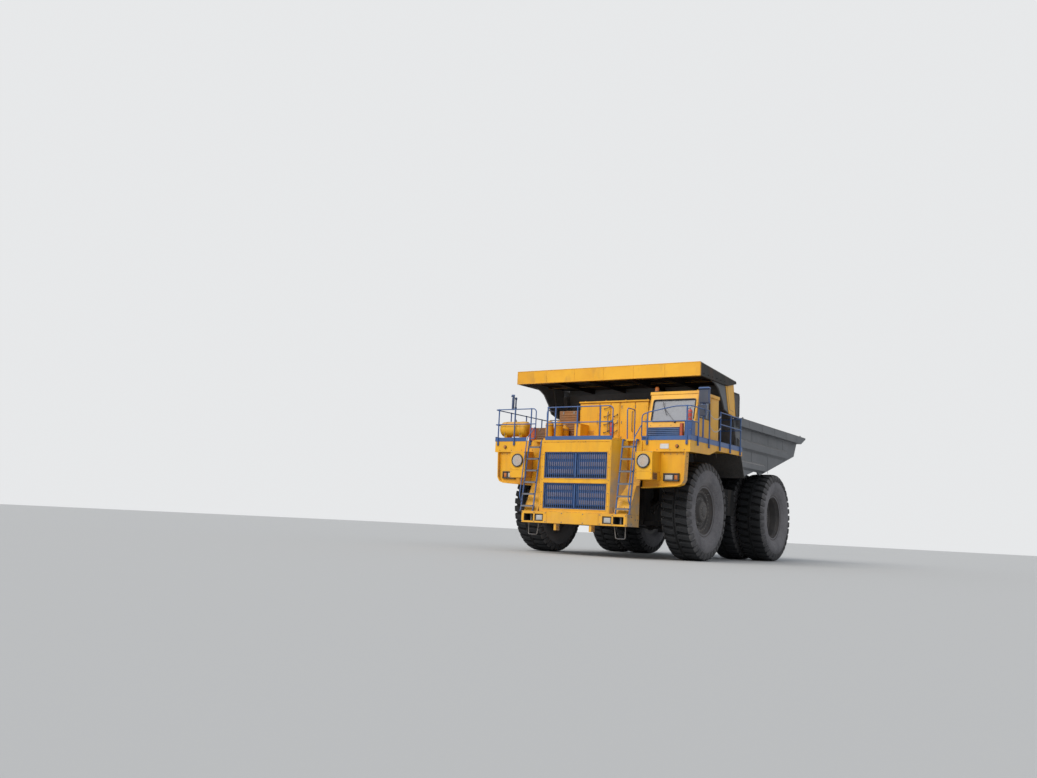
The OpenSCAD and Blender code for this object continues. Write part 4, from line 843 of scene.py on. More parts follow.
# Folded edges, bolts, weld beads and seams of the radiator shell, bumper and sheets beside the ladders
def makeFrontTrim():
    look = {"face": -2.77, "half": 1.1, "fold": 0.025, "seam": 1.165, "bolts": 1.135, "bumperFace": -2.832,
            "bumperBolts": (0.36, 0.93, 1.335, 1.76), "bumperSeams": (-0.88, 0.88),
            "cheekBolts": ((-2.75, 1.17), (-2.75, 0.97), (-2.55, 1.17), (-2.55, 0.97), (-2.3, 1.1),
                           (-2.15, 1.1))}
    bm = bmesh.new()
    face, half, fold, bumper = look["face"], look["half"], look["fold"], look["bumperFace"]
    addBox(bm, (look["seam"] - 0.006, face - 0.005, 1.27), (look["seam"] + 0.006, face + 0.004, 3.2),
           bevel=0.002)
    row = rowPlaces((look["bolts"], face - 0.001, 1.45), (look["bolts"], face - 0.001, 2.95), 5)
    addBolts(bm, row, forward, 0.01, 1)
    addBolts(bm, [(1.802, y, z) for y, z in look["cheekBolts"]], (1, 0, 0), 0.016, 1)
    addTube(bm, [(1.79, -2.7, 1.245), (1.79, -2.3, 2.06)], 0.007)
    addBolts(bm, [(x, bumper, z) for x in look["bumperBolts"] for z in (0.94, 1.2)], forward, 0.013, 1)
    mirrorAcross(bm)
    for low, high in grilleRows:
        for x0, x1, z0, z1 in ((-half, half, low - 0.001 - fold, low - 0.001),
                               (-half, half, high + 0.001, high + 0.001 + fold),
                               (-half, fold - half, low, high), (half - fold, half, low, high)):
            addBox(bm, (x0, face - 0.01, z0), (x1, face + 0.004, z1), bevel=0.003)
    addTube(bm, [(-1.78, face - 0.002, 1.243), (1.78, face - 0.002, 1.243)], 0.006)
    for x in look["bumperSeams"]:
        addTube(bm, [(x, bumper - 0.001, 0.91), (x, bumper - 0.001, 1.235)], 0.005)
    makePiece(bm, "frontTrim", "chassis", ["yellowPaint", "bareSteel"], 30)


# Square lamp: a frame and a bulging ribbed lens
def addSquareLamp(bm, x0, x1, z0, z1, front, lens):
    t, steps, depth = 0.014, 8, 0.016
    addFrame(bm, x0, x1, z0, z1, (t, t), front - 0.008, front + 0.05, 0, 0.003)
    addBox(bm, (x0 + t, front + 0.02, z0 + t), (x1 - t, front + 0.05, z1 - t))
    shares = [i / steps for i in range(steps + 1)]
    swell = [1 - (2 * share - 1) ** 4 for share in shares]
    xs, zs = ([low + t + (high - low - 2 * t) * share for share in shares]
              for low, high in ((x0, x1), (z0, z1)))
    rows = [[bm.verts.new((x, front + 0.012 - depth * u * v, z)) for x, u in zip(xs, swell)]
            for z, v in zip(zs, swell)]
    for a, b in zip(rows, rows[1:]):
        markFaces([bm.faces.new((a[i], a[i + 1], b[i + 1], b[i])) for i in range(steps)], lens)


# Lamps in the bumper; in the fenders a white one and an amber one in one dark rubber frame
def makeMarkerLamps():
    look = {"bumperX": (1.03, 1.29), "bumperZ": (0.966, 1.149), "frameX": (2.56, 3.05),
            "frameZ": (2.24, 2.47), "edge": 0.032, "endEdge": 0.03, "between": (2.865, 2.885), "face": -2.15,
            "back": -2.08}
    bm = bmesh.new()
    (x0, x1), (z0, z1) = look["bumperX"], look["bumperZ"]
    addSquareLamp(bm, x0, x1, z0, z1, -2.812, 1)
    addBox(bm, (x0, -2.765, z0), (x1, -2.745, z1))
    (x0, x1), (z0, z1), (m0, m1) = look["frameX"], look["frameZ"], look["between"]
    edge, end, face, back = look["edge"], x1 - look["endEdge"], look["face"], look["back"]
    for a, b in ((z0, z0 + edge), (z1 - edge, z1)):
        addBox(bm, (x0, face, a), (x1, back, b), bevel=0.006)
    for a, b in ((x0, x0 + edge), (m0, m1), (end, x1)):
        addBox(bm, (a, face, z0), (b, back, z1), bevel=0.006)
    for a, b, lens in ((x0 + edge, m0, 1), (m1, end, 2)):
        addSquareLamp(bm, a, b, z0 + edge, z1 - edge, face + 0.015, lens)
    mirrorAcross(bm)
    makePiece(bm, "squareLamps", "chassis", ["blackPlastic", "whiteLens", "amberLens"], 40,
              stands=["marker_lamps"])


# Headlamps: dark ring, seal, dished reflector, bulb and domed glass
def makeHeadlamps():
    look = {"x": 2.165, "y": -2.62, "z": 2.78, "glass": 0.172, "bowlDepth": 0.105, "dome": 0.012, "screws": 4}
    ring = [(0.0, 0.176), (0.0, 0.205), (0.02, 0.208), (0.04, 0.205), (0.048, 0.196), (0.046, 0.186),
            (0.03, 0.182), (0.012, 0.18)]
    seal = [(0.03, 0.182), (0.036, 0.184), (0.04, 0.178), (0.036, 0.17), (0.028, 0.172)]
    bulb = [(-0.075, 0.0), (-0.075, 0.026), (-0.03, 0.024), (-0.012, 0.016), (-0.008, 0.0)]
    centre, glass = (look["x"], look["y"], look["z"]), look["glass"]
    bowl = [(-0.075 + look["bowlDepth"] * (r / glass) ** 2, r)
            for r in (glass, 0.15, 0.125, 0.1, 0.075, 0.05, 0.03)]
    bowl = [(0.03, 0.176)] + bowl + [(-0.079, 0.03), (-0.085, 0.176)]
    dome = [(0.034 + look["dome"] * (1 - (r / glass) ** 2), r) for r in (0.0, 0.05, 0.1, 0.14, glass)]
    bm = bmesh.new()
    for m, profile in ((0, ring), (0, seal), (1, bowl)):
        addTurned(bm, centre, forward, profile, 48, m, closed=True)
    addTurned(bm, centre, forward, bulb, 16, 3)
    addTurned(bm, centre, forward, dome + [(0.031, glass), (0.031, 0.0)], 48, 2)
    screws = ringPlaces((look["x"], look["y"] - 0.044, look["z"]), forward, 0.199, look["screws"], pi / 4)
    addBolts(bm, screws, forward, 0.006, 1, washer=False)
    mirrorAcross(bm)
    makePiece(bm, "roundHeadlamps", "chassis",
              ["blackPlastic", "lampReflector", "headlampGlass", "whiteLens"], 30, stands=["headlamps"])


# Near-black linings of the bumper's end openings, painted shade in the recesses, with a tow pin across each
def makePockets():
    look = {"x": (1.364, 1.696), "y": (-2.805, -2.536), "z": (0.954, 1.161), "sheet": 0.006,
            "pin": (1.53, -2.66), "pinRadius": 0.03}
    bm = bmesh.new()
    (x0, x1), (y0, y1), (z0, z1), t = look["x"], look["y"], look["z"], look["sheet"]
    for low, high in (((x0, y0, z0), (x1, y1, z0 + t)), ((x0, y0, z1 - t), (x1, y1, z1)),
                      ((x0, y0, z0), (x0 + t, y1, z1)), ((x1 - t, y0, z0), (x1, y1, z1)),
                      ((x0, y1 - t, z0), (x1, y1, z1))):
        addBox(bm, low, high)
    pin, radius = look["pin"], look["pinRadius"]
    addBar(bm, (*pin, z0), (*pin, z1), radius, 1, 20)
    addBand(bm, (*pin, z1 - 0.03), upward, radius, 0.052, 0.022, 20, 1)
    mirrorAcross(bm)
    makePiece(bm, "bumperPockets", "chassis", ["recessShadeBlack", "bareSteel"], 30)


# Fenders: rusty slotted inset on the lamp boxes, seams, bolts, edge lamps and a blank plate
def makeFenderTrim():
    look = {"boxFace": -2.622, "deckFace": -2.152, "edgeLamp": (2.98, -2.15, 3.24), "slots": 3,
            "slotPitch": 0.05, "plateX": (2.44, 2.72), "plateZ": (3.165, 3.315)}
    bm = bmesh.new()
    face, edge = look["boxFace"], look["deckFace"]
    addBox(bm, (2.442, -2.59, 2.262), (2.452, -2.3, 2.462), 1, 0.003)
    for i in range(look["slots"]):
        z = 2.3 + i * look["slotPitch"]
        addBox(bm, (2.45, -2.56, z), (2.458, -2.33, z + 0.022), 2, 0.002)
    seam = ((1.9, face), (2.43, face), (2.442, -2.6), (2.442, -2.13))
    addPipe(bm, [(x, y, 2.49) for x, y in seam], 0.01, 0.006)
    addBolts(bm, [(x, face, z) for x in (1.93, 2.4) for z in (2.29, 2.44, 2.53, 3.03)], forward, 0.009, 3)
    addBolts(bm, [(x, -2.082, 3.02) for x in (2.55, 2.75, 2.95, 3.15)], forward, 0.011, 3)
    addBolts(bm, rowPlaces((3.256, -2.06, 2.35), (3.256, -2.06, 2.95), 4), (1, 0, 0), 0.01, 3)
    addTurned(bm, look["edgeLamp"], forward, [(0, 0.05), (0.035, 0.048), (0.045, 0.04), (0.047, 0.0)], 24, 4)
    addTurned(bm, look["edgeLamp"], forward, [(0.04, 0.034), (0.052, 0.028), (0.055, 0.0)], 20, 5)
    addBolts(bm, [(x, edge, 3.14) for x in (1.95, 2.35, 2.75, 3.2)], forward, 0.011, 3)
    mirrorAcross(bm)
    (x0, x1), (z0, z1) = look["plateX"], look["plateZ"]
    addBox(bm, (x0, edge - 0.008, z0), (x1, edge + 0.002, z1), 6, 0.004)
    corners = [(x, edge - 0.008, z) for x in (x0 + 0.02, x1 - 0.02) for z in (z0 + 0.015, z1 - 0.015)]
    addBolts(bm, corners, forward, 0.006, 3, washer=False)
    looks = ["yellowPaint", "rustPaint", "framePaint", "bareSteel", "blackPlastic", "amberLens", "whitePaint"]
    makePiece(bm, "fenderTrim", "chassis", looks, 32)


makeGrille()
makeFrontTrim()
makeMarkerLamps()
makeHeadlamps()
makePockets()
makeFenderTrim()
print("front dressed")


# Railings and toe boards in smooth tube, standing where the source has them

rails = {"post": 0.021, "rail": 0.017, "top": 4.41, "mid": 3.96, "front": -2.175, "side": 3.405, "rear": 1.7,
         "shell": -2.66, "foot": 3.29, "board": 0.008}


# A post stands on the deck, or on a bracket bolted to the deck's front edge or side
def addPost(bm, x, y, over, place):
    foot = deckTop if place == "deck" else rails["foot"]
    top = rails["top"] + over
    addTube(bm, [(x, y, foot), (x, y, top - 0.004)], rails["post"], 0, 12)
    addTurned(bm, (x, y, top - 0.006), upward, [(0, 0.022), (0.006, 0.02), (0.009, 0.0)], 12)
    if place == "deck":
        addBox(bm, (x - 0.055, y - 0.04, foot), (x + 0.055, y + 0.04, foot + 0.012), bevel=0.002)
        bolts = [(x - 0.04, y, foot + 0.012), (x + 0.04, y, foot + 0.012)]
        addBolts(bm, bolts, upward, 0.008, 1, washer=False)
    elif place == "front":
        addBox(bm, (x - 0.032, y - 0.012, 3.29), (x + 0.032, -2.15, 3.41), bevel=0.004)
        addBolts(bm, [(x, y - 0.022, z) for z in (3.32, 3.38)], forward, 0.01, 1)
    else:
        out = 1 if x > 0 else -1
        addBox(bm, (out * 3.38, y - 0.032, 3.3), (x + out * 0.012, y + 0.032, 3.41), bevel=0.004)
        addBolts(bm, [(x + out * 0.022, y, z) for z in (3.325, 3.385)], (out, 0, 0), 0.01, 1)


def makeRailings():
    bm = bmesh.new()
    top, mid, front, side, rear = rails["top"], rails["mid"], rails["front"], rails["side"], rails["rear"]
    shell, board = rails["shell"], rails["board"]
    # Posts: where they stand, then x, y and height over the top rail
    posts = {
        "front": [(2.03, front, -0.19), (3.27, front, 0), (-2.03, front, 0.05), (-2.65, front, 0.05),
                  (-3.27, front, 0.05)],
        "side": [(side, -1.68, 0), (side, -0.89, 0), (side, -0.07, 0.06), (side, 0.74, 0.06),
                 (side, 1.56, 0.06)]
                + [(-side, y, 0.05) for y in (-1.3, -0.4, 0.56, 1.56)],
        "deck": [(2.5, rear, 0.06), (-2.5, rear, 0.05)]
        + [(x, shell, 0) for x in (-1.1, -0.82, -0.05, 0.73)],
    }
    for place, rows in posts.items():
        for x, y, over in rows:
            addPost(bm, x, y, over, place)
    bend = lambda points: addPipe(bm, points, 0.09, rails["rail"], 0, 12, steps=5)
    # Left front corner, left side behind the gap, right side, and in front of the canisters
    bend([(2.06, front, 3.5), (1.87, front, 3.5), (1.85, front, 3.55), (1.85, front, 4.08),
          (1.88, front, 4.17), (2.06, front, 4.235), (2.9, front, top - 0.02), (side, front, top - 0.02),
          (side, -0.89, top - 0.02)])
    bend([(1.85, front, mid), (side, front, mid), (side, -1.68, mid)])
    bend([(side, -0.07, top + 0.04), (side, rear, top + 0.04), (1.7, rear, top + 0.04), (1.7, rear, deckTop)])
    bend([(side, -0.07, mid + 0.13), (side, rear, mid + 0.13), (1.7, rear, mid + 0.13)])
    bend([(-2.06, front, 3.5), (-1.87, front, 3.5), (-1.85, front, 3.56), (-1.85, front, top - 0.04),
          (-1.92, front, top + 0.03), (-side, front, top + 0.03), (-side, rear, top + 0.03),
          (-2.5, rear, top + 0.03)])
    bend([(-1.85, front, mid), (-side, front, mid), (-side, rear, mid), (-2.5, rear, mid)])
    bend([(-1.12, shell, top - 0.02), (1.06, shell, top - 0.02), (1.15, shell, top - 0.08),
          (1.15, shell, deckTop)])
    bend([(-1.12, shell, mid - 0.04), (1.15, shell, mid - 0.04)])
    # Toe boards, those at the sides with a folded upper edge
    for x0, x1, y, z0, z1 in ((-1.13, 1.18, -2.71, 3.39, 3.505), (1.84, 3.379, -2.16, 3.42, 3.54),
                              (-3.379, -2.2, -2.16, 3.42, 3.54)):
        addBox(bm, (x0, y, z0), (x1, y + board, z1), bevel=0.002)
    for s in bothSides:
        addBox(bm, (s * 3.382, -2.16, 3.42), (s * (3.382 + board), 1.77, 3.57), bevel=0.002)
        addBox(bm, (s * 3.382, -2.15, 3.562), (s * 3.398, 1.77, 3.57), bevel=0.002)
    addBolts(bm, rowPlaces((-1.0, -2.71, 3.42), (1.0, -2.71, 3.42), 5), forward, 0.009, 1)
    makePiece(bm, "tubeRailings", "chassis", ["bluePaint", "bareSteel"], 40, stands=["railings"])


# Two sagging chains across the gap in the left railing
def makeChains():
    look = {"x": rails["side"], "y": (-0.868, -0.092), "rows": ((4.3, 0.1), (3.95, 0.13)), "links": 18,
            "linkHalf": 0.016, "wire": 0.0045}
    bm = bmesh.new()
    for high, sag in look["rows"]:
        start, end = (Vector((look["x"], y, high)) for y in look["y"])
        span, links = end - start, look["links"]
        for i in range(links):
            t = (i + 0.5) / links
            place = start + span * t - Vector((0, 0, sag * 4 * t * (1 - t)))
            ahead = (span.normalized() - Vector((0, 0, sag * 4 * (1 - 2 * t) / span.length))).normalized()
            across, over = sideways(ahead)
            wide = across if i % 2 else over
            turns = [2 * pi * k / 8 for k in range(9)]
            half = ahead * span.length / links * 0.55
            loop = [place + half * cos(a) + wide * look["linkHalf"] * sin(a) for a in turns]
            addTube(bm, loop, look["wire"], 0, 5)
        for y in look["y"]:
            addBand(bm, (look["x"], y, high), backward, 0.012, 0.022, 0.012, 12, start=-0.006)
    makePiece(bm, "sideChains", "chassis", ["whitePaint"], 50)


# Ladders: round stiles, folded non-slip treads, hand rails, stirrups and the straps at their feet
def makeLadders():
    look = {"foot": (-2.785, 1.24), "head": (-2.47, 3.4), "stiles": (1.41, 1.852), "stile": 0.024,
            "treads": 6, "studs": 9, "handRail": 0.016, "archRail": 0.017, "stirrup": 0.013, "strap": 0.013}
    arch = [(-2.2, 3.441), (-2.24, 4.3), (-2.2, 4.37), (-1.8, 4.37), (-1.76, 4.3), (-1.76, 3.441)]
    stirrup = [(1.29, 0.898), (1.35, 0.545), (1.65, 0.545), (1.65, 0.899)]
    straps = ([(1.33, -2.79, 1.43), (1.35, -2.82, 1.33), (1.41, -2.8, 1.262), (1.44, -2.77, 1.25)],
              [(1.7, -2.79, 1.44), (1.73, -2.825, 1.34), (1.8, -2.815, 1.28), (1.875, -2.78, 1.255)])
    bm = bmesh.new()
    foot, head = Vector((0, *look["foot"])), Vector((0, *look["head"]))
    stud = [(0, 0.012), (0.006, 0.009), (0.006, 0.006)]
    inner, outer = look["stiles"]
    hook = [(head.y - 0.02, 3.372), (-2.332, 3.372), (-2.332, 3.418), (head.y, 3.428)]
    at = lambda t, x, dy=0.0, dz=0.0: foot + (head - foot) * t + Vector((x, dy, dz))
    for x in look["stiles"]:
        addTube(bm, [at(0.005, x), at(1.0, x)], look["stile"], sides=12)
        addBox(bm, (x - 0.032, foot.y - 0.04, 1.24), (x + 0.032, foot.y + 0.05, 1.254), bevel=0.003)
        addBolts(bm, [(x, foot.y + 0.036, 1.254)], upward, 0.01, 2)
        addPlate(bm, "x", x - 0.008, x + 0.008, hook)
    x0, x1 = inner + 0.012, outer - 0.012
    for i in range(look["treads"]):
        y, z = at((i + 0.45) / look["treads"], 0).yz
        y0, y1 = y - 0.066, y + 0.058
        addBox(bm, (x0, y0, z + 0.006), (x1, y1, z + 0.014), 1, 0.002)
        addBox(bm, (x0, y0, z - 0.04), (x1, y0 + 0.006, z + 0.014), 1, 0.002)
        addBox(bm, (x0, y1 - 0.006, z - 0.026), (x1, y1, z + 0.012), bevel=0.002)
        for k in range(look["studs"]):
            x = x0 + (x1 - x0) * (k + 0.5) / look["studs"]
            for studY in (y0 + 0.032, y1 - 0.032):
                addTurned(bm, (x, studY, z + 0.013), upward, stud, 8, 1)
        addBolts(bm, [(outer + 0.024, y, z - 0.006)], (1, 0, 0), 0.009, 2)
    hand = [at(0.12, outer), at(0.2, outer, -0.17), at(1.0, outer, -0.15, 0.06), (outer, -2.22, 3.84),
            (outer, -2.195, 3.84)]
    addPipe(bm, hand, 0.1, look["handRail"], sides=12, steps=5)
    addPipe(bm, [(inner - 0.01, y, z) for y, z in arch], 0.08, look["archRail"], sides=12, steps=5)
    for y in (-2.2, -1.76):
        addTurned(bm, (inner - 0.01, y, deckTop + 0.0005), upward, [(0, 0.04), (0.01, 0.038), (0.012, 0.018)],
                  16)
    addPipe(bm, [(x, -2.6, z) for x, z in stirrup], 0.06, look["stirrup"], 2, 10, steps=5)
    addBox(bm, (1.37, -2.64, 0.552), (1.63, -2.56, 0.562), 2, 0.002)
    for strap in straps:
        addPipe(bm, strap, 0.06, look["strap"], 3, flat=0.45)
    mirrorAcross(bm)
    makePiece(bm, "stepLadders", "chassis", ["bluePaint", "treadSteel", "bareSteel", "blackPlastic"], 40,
              stands=["ladders"])


makeRailings()
makeChains()
makeLadders()
print("railings and ladders made")


# Cab: its front leans back from its foot as it rises from the deck

cabFront = {"foot": -1.52, "lean": 0.4, "rise": 1.54}
cabOut = Vector((0, -cabFront["rise"], cabFront["lean"])).normalized()


def onFront(x, z, lift=0.0):
    back = cabFront["lean"] / cabFront["rise"] * (z - deckTop)
    return Vector((x, cabFront["foot"] + back, z)) + cabOut * lift


# Gaskets, gutters, seams, rivets, cover, wiper, roof ribs and lifting eyes
def makeCabTrim():
    look = {"wallX": (3.17, 1.62), "seam": -0.255, "rivet": 0.009, "ribs": (1.95, 2.28, 2.62, 2.95),
            "coverBolts": (1.74, 2.05, 2.4, 2.75, 3.06), "eyesX": (1.72, 3.07), "eyesY": (-1.02, 0.22)}
    shield = ((1.735, 4.055), (3.095, 4.055), (3.095, 4.725), (1.735, 4.725))
    sideWindow = ((-1.172, 4.188), (-0.348, 4.188), (-0.348, 4.802), (-1.026, 4.802))
    rearWindow = ((1.805, 4.188), (2.225, 4.188), (2.225, 4.742), (1.805, 4.742))
    bm = bmesh.new()
    addGasket(bm, [onFront(x, z, 0.002) for x, z in shield], 0.07, 0.024, 10, 0.8, steps=5)
    for x, out in zip(look["wallX"], bothSides):
        addGasket(bm, [(x + out * 0.002, y, z) for y, z in sideWindow], 0.05, 0.018, 8, 0.8)
        addBox(bm, (x - 0.012, -0.7, 4.19), (x + 0.006 * out + 0.004, -0.668, 4.8), bevel=0.003)
        addBox(bm, (x - 0.002, -0.66, 4.45), (x + out * 0.014, -0.62, 4.53), 2, 0.003)
        gutter, wall = x + out * 0.026, x + out * 0.001
        addTube(bm, [(gutter, -1.14, 4.885), (gutter, 0.34, 4.885)], 0.01, 1)
        addTube(bm, [(wall, look["seam"], 3.46), (wall, look["seam"], 4.86)], 0.005, 1, 6)
        addTube(bm, [(wall, -1.46, 4.1), (wall, look["seam"], 4.1)], 0.004, 1, 6)
        addBolts(bm, rowPlaces((wall, -1.42, 3.52), (wall, 0.26, 3.52), 9), (out, 0, 0), look["rivet"], 2)
    addGasket(bm, [(x, 0.332, z) for x, z in rearWindow], 0.05, 0.016)
    # Bolted cover under the windscreen and the corner seams
    for z in (4.015, 3.86):
        addTube(bm, [onFront(1.68, z, 0.001), onFront(3.12, z, 0.001)], 0.006, 1)
    addBolts(bm, [onFront(x, 3.935, 0.001) for x in look["coverBolts"]], cabOut, 0.01, 2)
    for x in (1.64, 3.15):
        addTube(bm, [onFront(x, 3.46), onFront(x, 4.85)], 0.01, 1)
    # Wiper: pivot, arm, blade and its spring bow
    arm = ((2.52, 4.028, 0.035), (2.38, 4.18, 0.055), (2.13, 4.45, 0.045))
    bow = ((2.19, 4.32, 0.03), (2.13, 4.45, 0.048), (2.08, 4.58, 0.03))
    addTurned(bm, onFront(2.52, 4.028), cabOut, [(0, 0.032), (0.025, 0.03), (0.04, 0.02), (0.045, 0.0)], 16)
    addPipe(bm, [onFront(*place) for place in arm], 0.05, 0.009, flat=0.6)
    addTube(bm, [onFront(2.22, 4.24, 0.024), onFront(2.05, 4.66, 0.024)], 0.01, flat=0.7)
    addPipe(bm, [onFront(*place) for place in bow], 0.05, 0.006, 0, 6)
    for x in look["ribs"]:
        addBox(bm, (x - 0.05, -0.95, 4.979), (x + 0.05, 0.22, 4.99), 1, 0.005)
    for x in look["eyesX"]:
        for y in look["eyesY"]:
            addBand(bm, (x, y, 4.995), (1, 0, 0), 0.015, 0.035, 0.016, 16, 1, start=-0.008)
    makePiece(bm, "cabTrim", "chassis", ["blackPlastic", "yellowPaint", "bareSteel"])


# Door on the rear wall: gasket, pull handle, latch, hinge pins and seams
def makeDoorTrim():
    look = {"window": ((2.455, 4.185), (2.915, 4.185), (2.915, 4.745), (2.455, 4.745)), "handleX": 2.415,
            "hinges": (3.74, 4.59), "hingeX": 3.04, "seams": (3.6, 4.83)}
    latch = [(0, 0.03), (0.012, 0.028), (0.014, 0.012), (0.028, 0.01), (0.028, 0.0)]
    handle = ((0.378, 3.98), (0.405, 4.02), (0.405, 4.18), (0.378, 4.22))
    bm = bmesh.new()
    addGasket(bm, [(x, 0.333, z) for x, z in look["window"]], 0.05, 0.016)
    addPipe(bm, [(look["handleX"], y, z) for y, z in handle], 0.02, 0.011, 2)
    addTurned(bm, (look["handleX"], 0.332, 3.92), backward, latch, 16, 2)
    for z in look["hinges"]:
        addBolts(bm, [(x, 0.351, z + 0.045) for x in (2.985, 3.015)], backward, 0.008, 2, washer=False)
        addBar(bm, (look["hingeX"], 0.352, z - 0.012), (look["hingeX"], 0.352, z + 0.102), 0.011, 2, 12)
    for z in look["seams"]:
        addTube(bm, [(2.37, 0.331, z), (3.0, 0.331, z)], 0.004, 1, 6)
    makePiece(bm, "doorTrim", "cab_door", ["blackPlastic", "yellowPaint", "bareSteel"])


# A cushion: a finely cut block with rounded corners, a crown and two sewn channels
def addCushion(bm, low, high, crown):
    look = {"cuts": 10, "corner": 0.05, "round": 0.04, "channel": 0.006, "channelHalf": 0.06,
            "channels": (-0.45, 0.45)}
    low, high = Vector(low), Vector(high)
    size, middle = high - low, (high + low) / 2
    bmesh.ops.create_cube(bm, size=1.0)
    bmesh.ops.subdivide_edges(bm, edges=bm.edges, cuts=look["cuts"], use_grid_fill=True)
    for vert in bm.verts:
        p = vert.co * 2
        pull = 1 - look["corner"] * (p.x ** 2 * p.y ** 2 + p.y ** 2 * p.z ** 2)
        place = Vector(middle)
        for k in range(3):
            a, b, c = p[k], p[(k + 1) % 3], p[(k + 2) % 3]
            swell = crown[k] * (1 - b ** 4) * (1 - c ** 4) * (1 if a > 0 else -1) * abs(a) ** 8
            place[k] += a * (1 - look["round"] * (abs(b) ** 6 + abs(c) ** 6)) * pull * size[k] / 2 + swell
        if abs(p.x) < 0.8:
            near = sum(max(0, 1 - abs(p.x - at) / look["channelHalf"]) for at in look["channels"])
            place -= (place - middle).normalized() * look["channel"] * near
        vert.co = place


def makeSeat():
    # Name, low and high corner, crown, node that it stands for
    cushions = (("seatPan", (2.137, -0.612, 3.8), (2.653, -0.125, 3.935), (0.0, 0.0, 0.012), ["cab_seat"]),
                ("seatBack", (2.157, -0.118, 3.86), (2.633, 0.012, 4.545), (0.0, 0.01, 0.0), []))
    for name, low, high, crown, node in cushions:
        bm = bmesh.new()
        addCushion(bm, low, high, crown)
        piece = makePiece(bm, name, "chassis", ["seatCloth"], 60, stands=node)


# Base under the cushion: floor plate, sprung column in bellows, frame and side rails
def makeSeatBase():
    look = {"column": (2.395, -0.36, 3.502), "folds": 6, "pitch": 0.038, "foldIn": 0.155, "foldOut": 0.175}
    bm = bmesh.new()
    addBox(bm, (2.205, -0.55, 3.502), (2.585, -0.17, 3.525), bevel=0.006)
    bellows = []
    for i in range(look["folds"]):
        z = 0.023 + i * look["pitch"]
        bellows += [(z, look["foldIn"]), (z + look["pitch"] / 2, look["foldOut"])]
    addTurned(bm, look["column"], upward, bellows + [(0.262, look["foldIn"])], 28)
    addBox(bm, (2.155, -0.6, 3.765), (2.635, -0.13, 3.795), bevel=0.008)
    for x in (2.135, 2.655):
        addBox(bm, (x - 0.012, -0.58, 3.775), (x + 0.012, 0.0, 3.815), 1, 0.004)
    makePiece(bm, "seatBase", "chassis", ["blackPlastic", "bareSteel"], 40)


# Dash with gauges, steering column and wheel, pedals
def makeControls():
    look = {"gauges": (2.16, 2.28, 2.395, 2.51, 2.63), "wheelAt": (2.395, -0.88, 4.15), "wheelLean": 35,
            "wheelRadius": 0.19, "rim": 0.0155, "spokes": (pi / 2, pi * 7 / 6, pi * 11 / 6),
            "pedals": (2.22, 2.56)}
    dash = [(-1.3, 3.502), (-1.105, 3.502), (-1.105, 3.93), (-1.16, 3.995), (-1.3, 3.998)]
    gauge = [(0, 0.046), (0.01, 0.046), (0.01, 0.038), (0.004, 0.036), (0.004, 0.0)]
    boss = [(-0.02, 0.045), (0.012, 0.045), (0.02, 0.035), (0.022, 0.0)]
    pedal = [(-1.1, 3.6), (-1.0, 3.53), (-0.99, 3.545), (-1.09, 3.62)]
    bm = bmesh.new()
    addPlate(bm, "x", 1.685, 3.105, dash, bevel=0.012)
    for i, x in enumerate(look["gauges"]):
        addTurned(bm, (x, -1.133, 3.965), (0, 0.76, 0.65), gauge, 20, 0 if i % 2 else 1)
    addTube(bm, [(2.395, -1.155, 3.97), (2.395, -0.905, 4.135)], 0.032, 0, 14)
    centre, lean = Vector(look["wheelAt"]), radians(look["wheelLean"])
    across, over = Vector((1, 0, 0)), Vector((0, cos(lean), sin(lean)))
    onWheel = lambda a, r: centre + r * (across * cos(a) + over * sin(a))
    addTube(bm, [onWheel(2 * pi * k / 36, look["wheelRadius"]) for k in range(37)], look["rim"], 0, 10)
    for a in look["spokes"]:
        addTube(bm, [centre, onWheel(a, look["wheelRadius"] - 0.005)], 0.01, flat=0.7)
    addTurned(bm, centre, across.cross(over), boss, 20)
    for x in look["pedals"]:
        addPlate(bm, "x", x - 0.05, x + 0.05, pedal, bevel=0.004)
    makePiece(bm, "driverControls", "chassis", ["blackPlastic", "bareSteel"], stands=["cab_controls"])


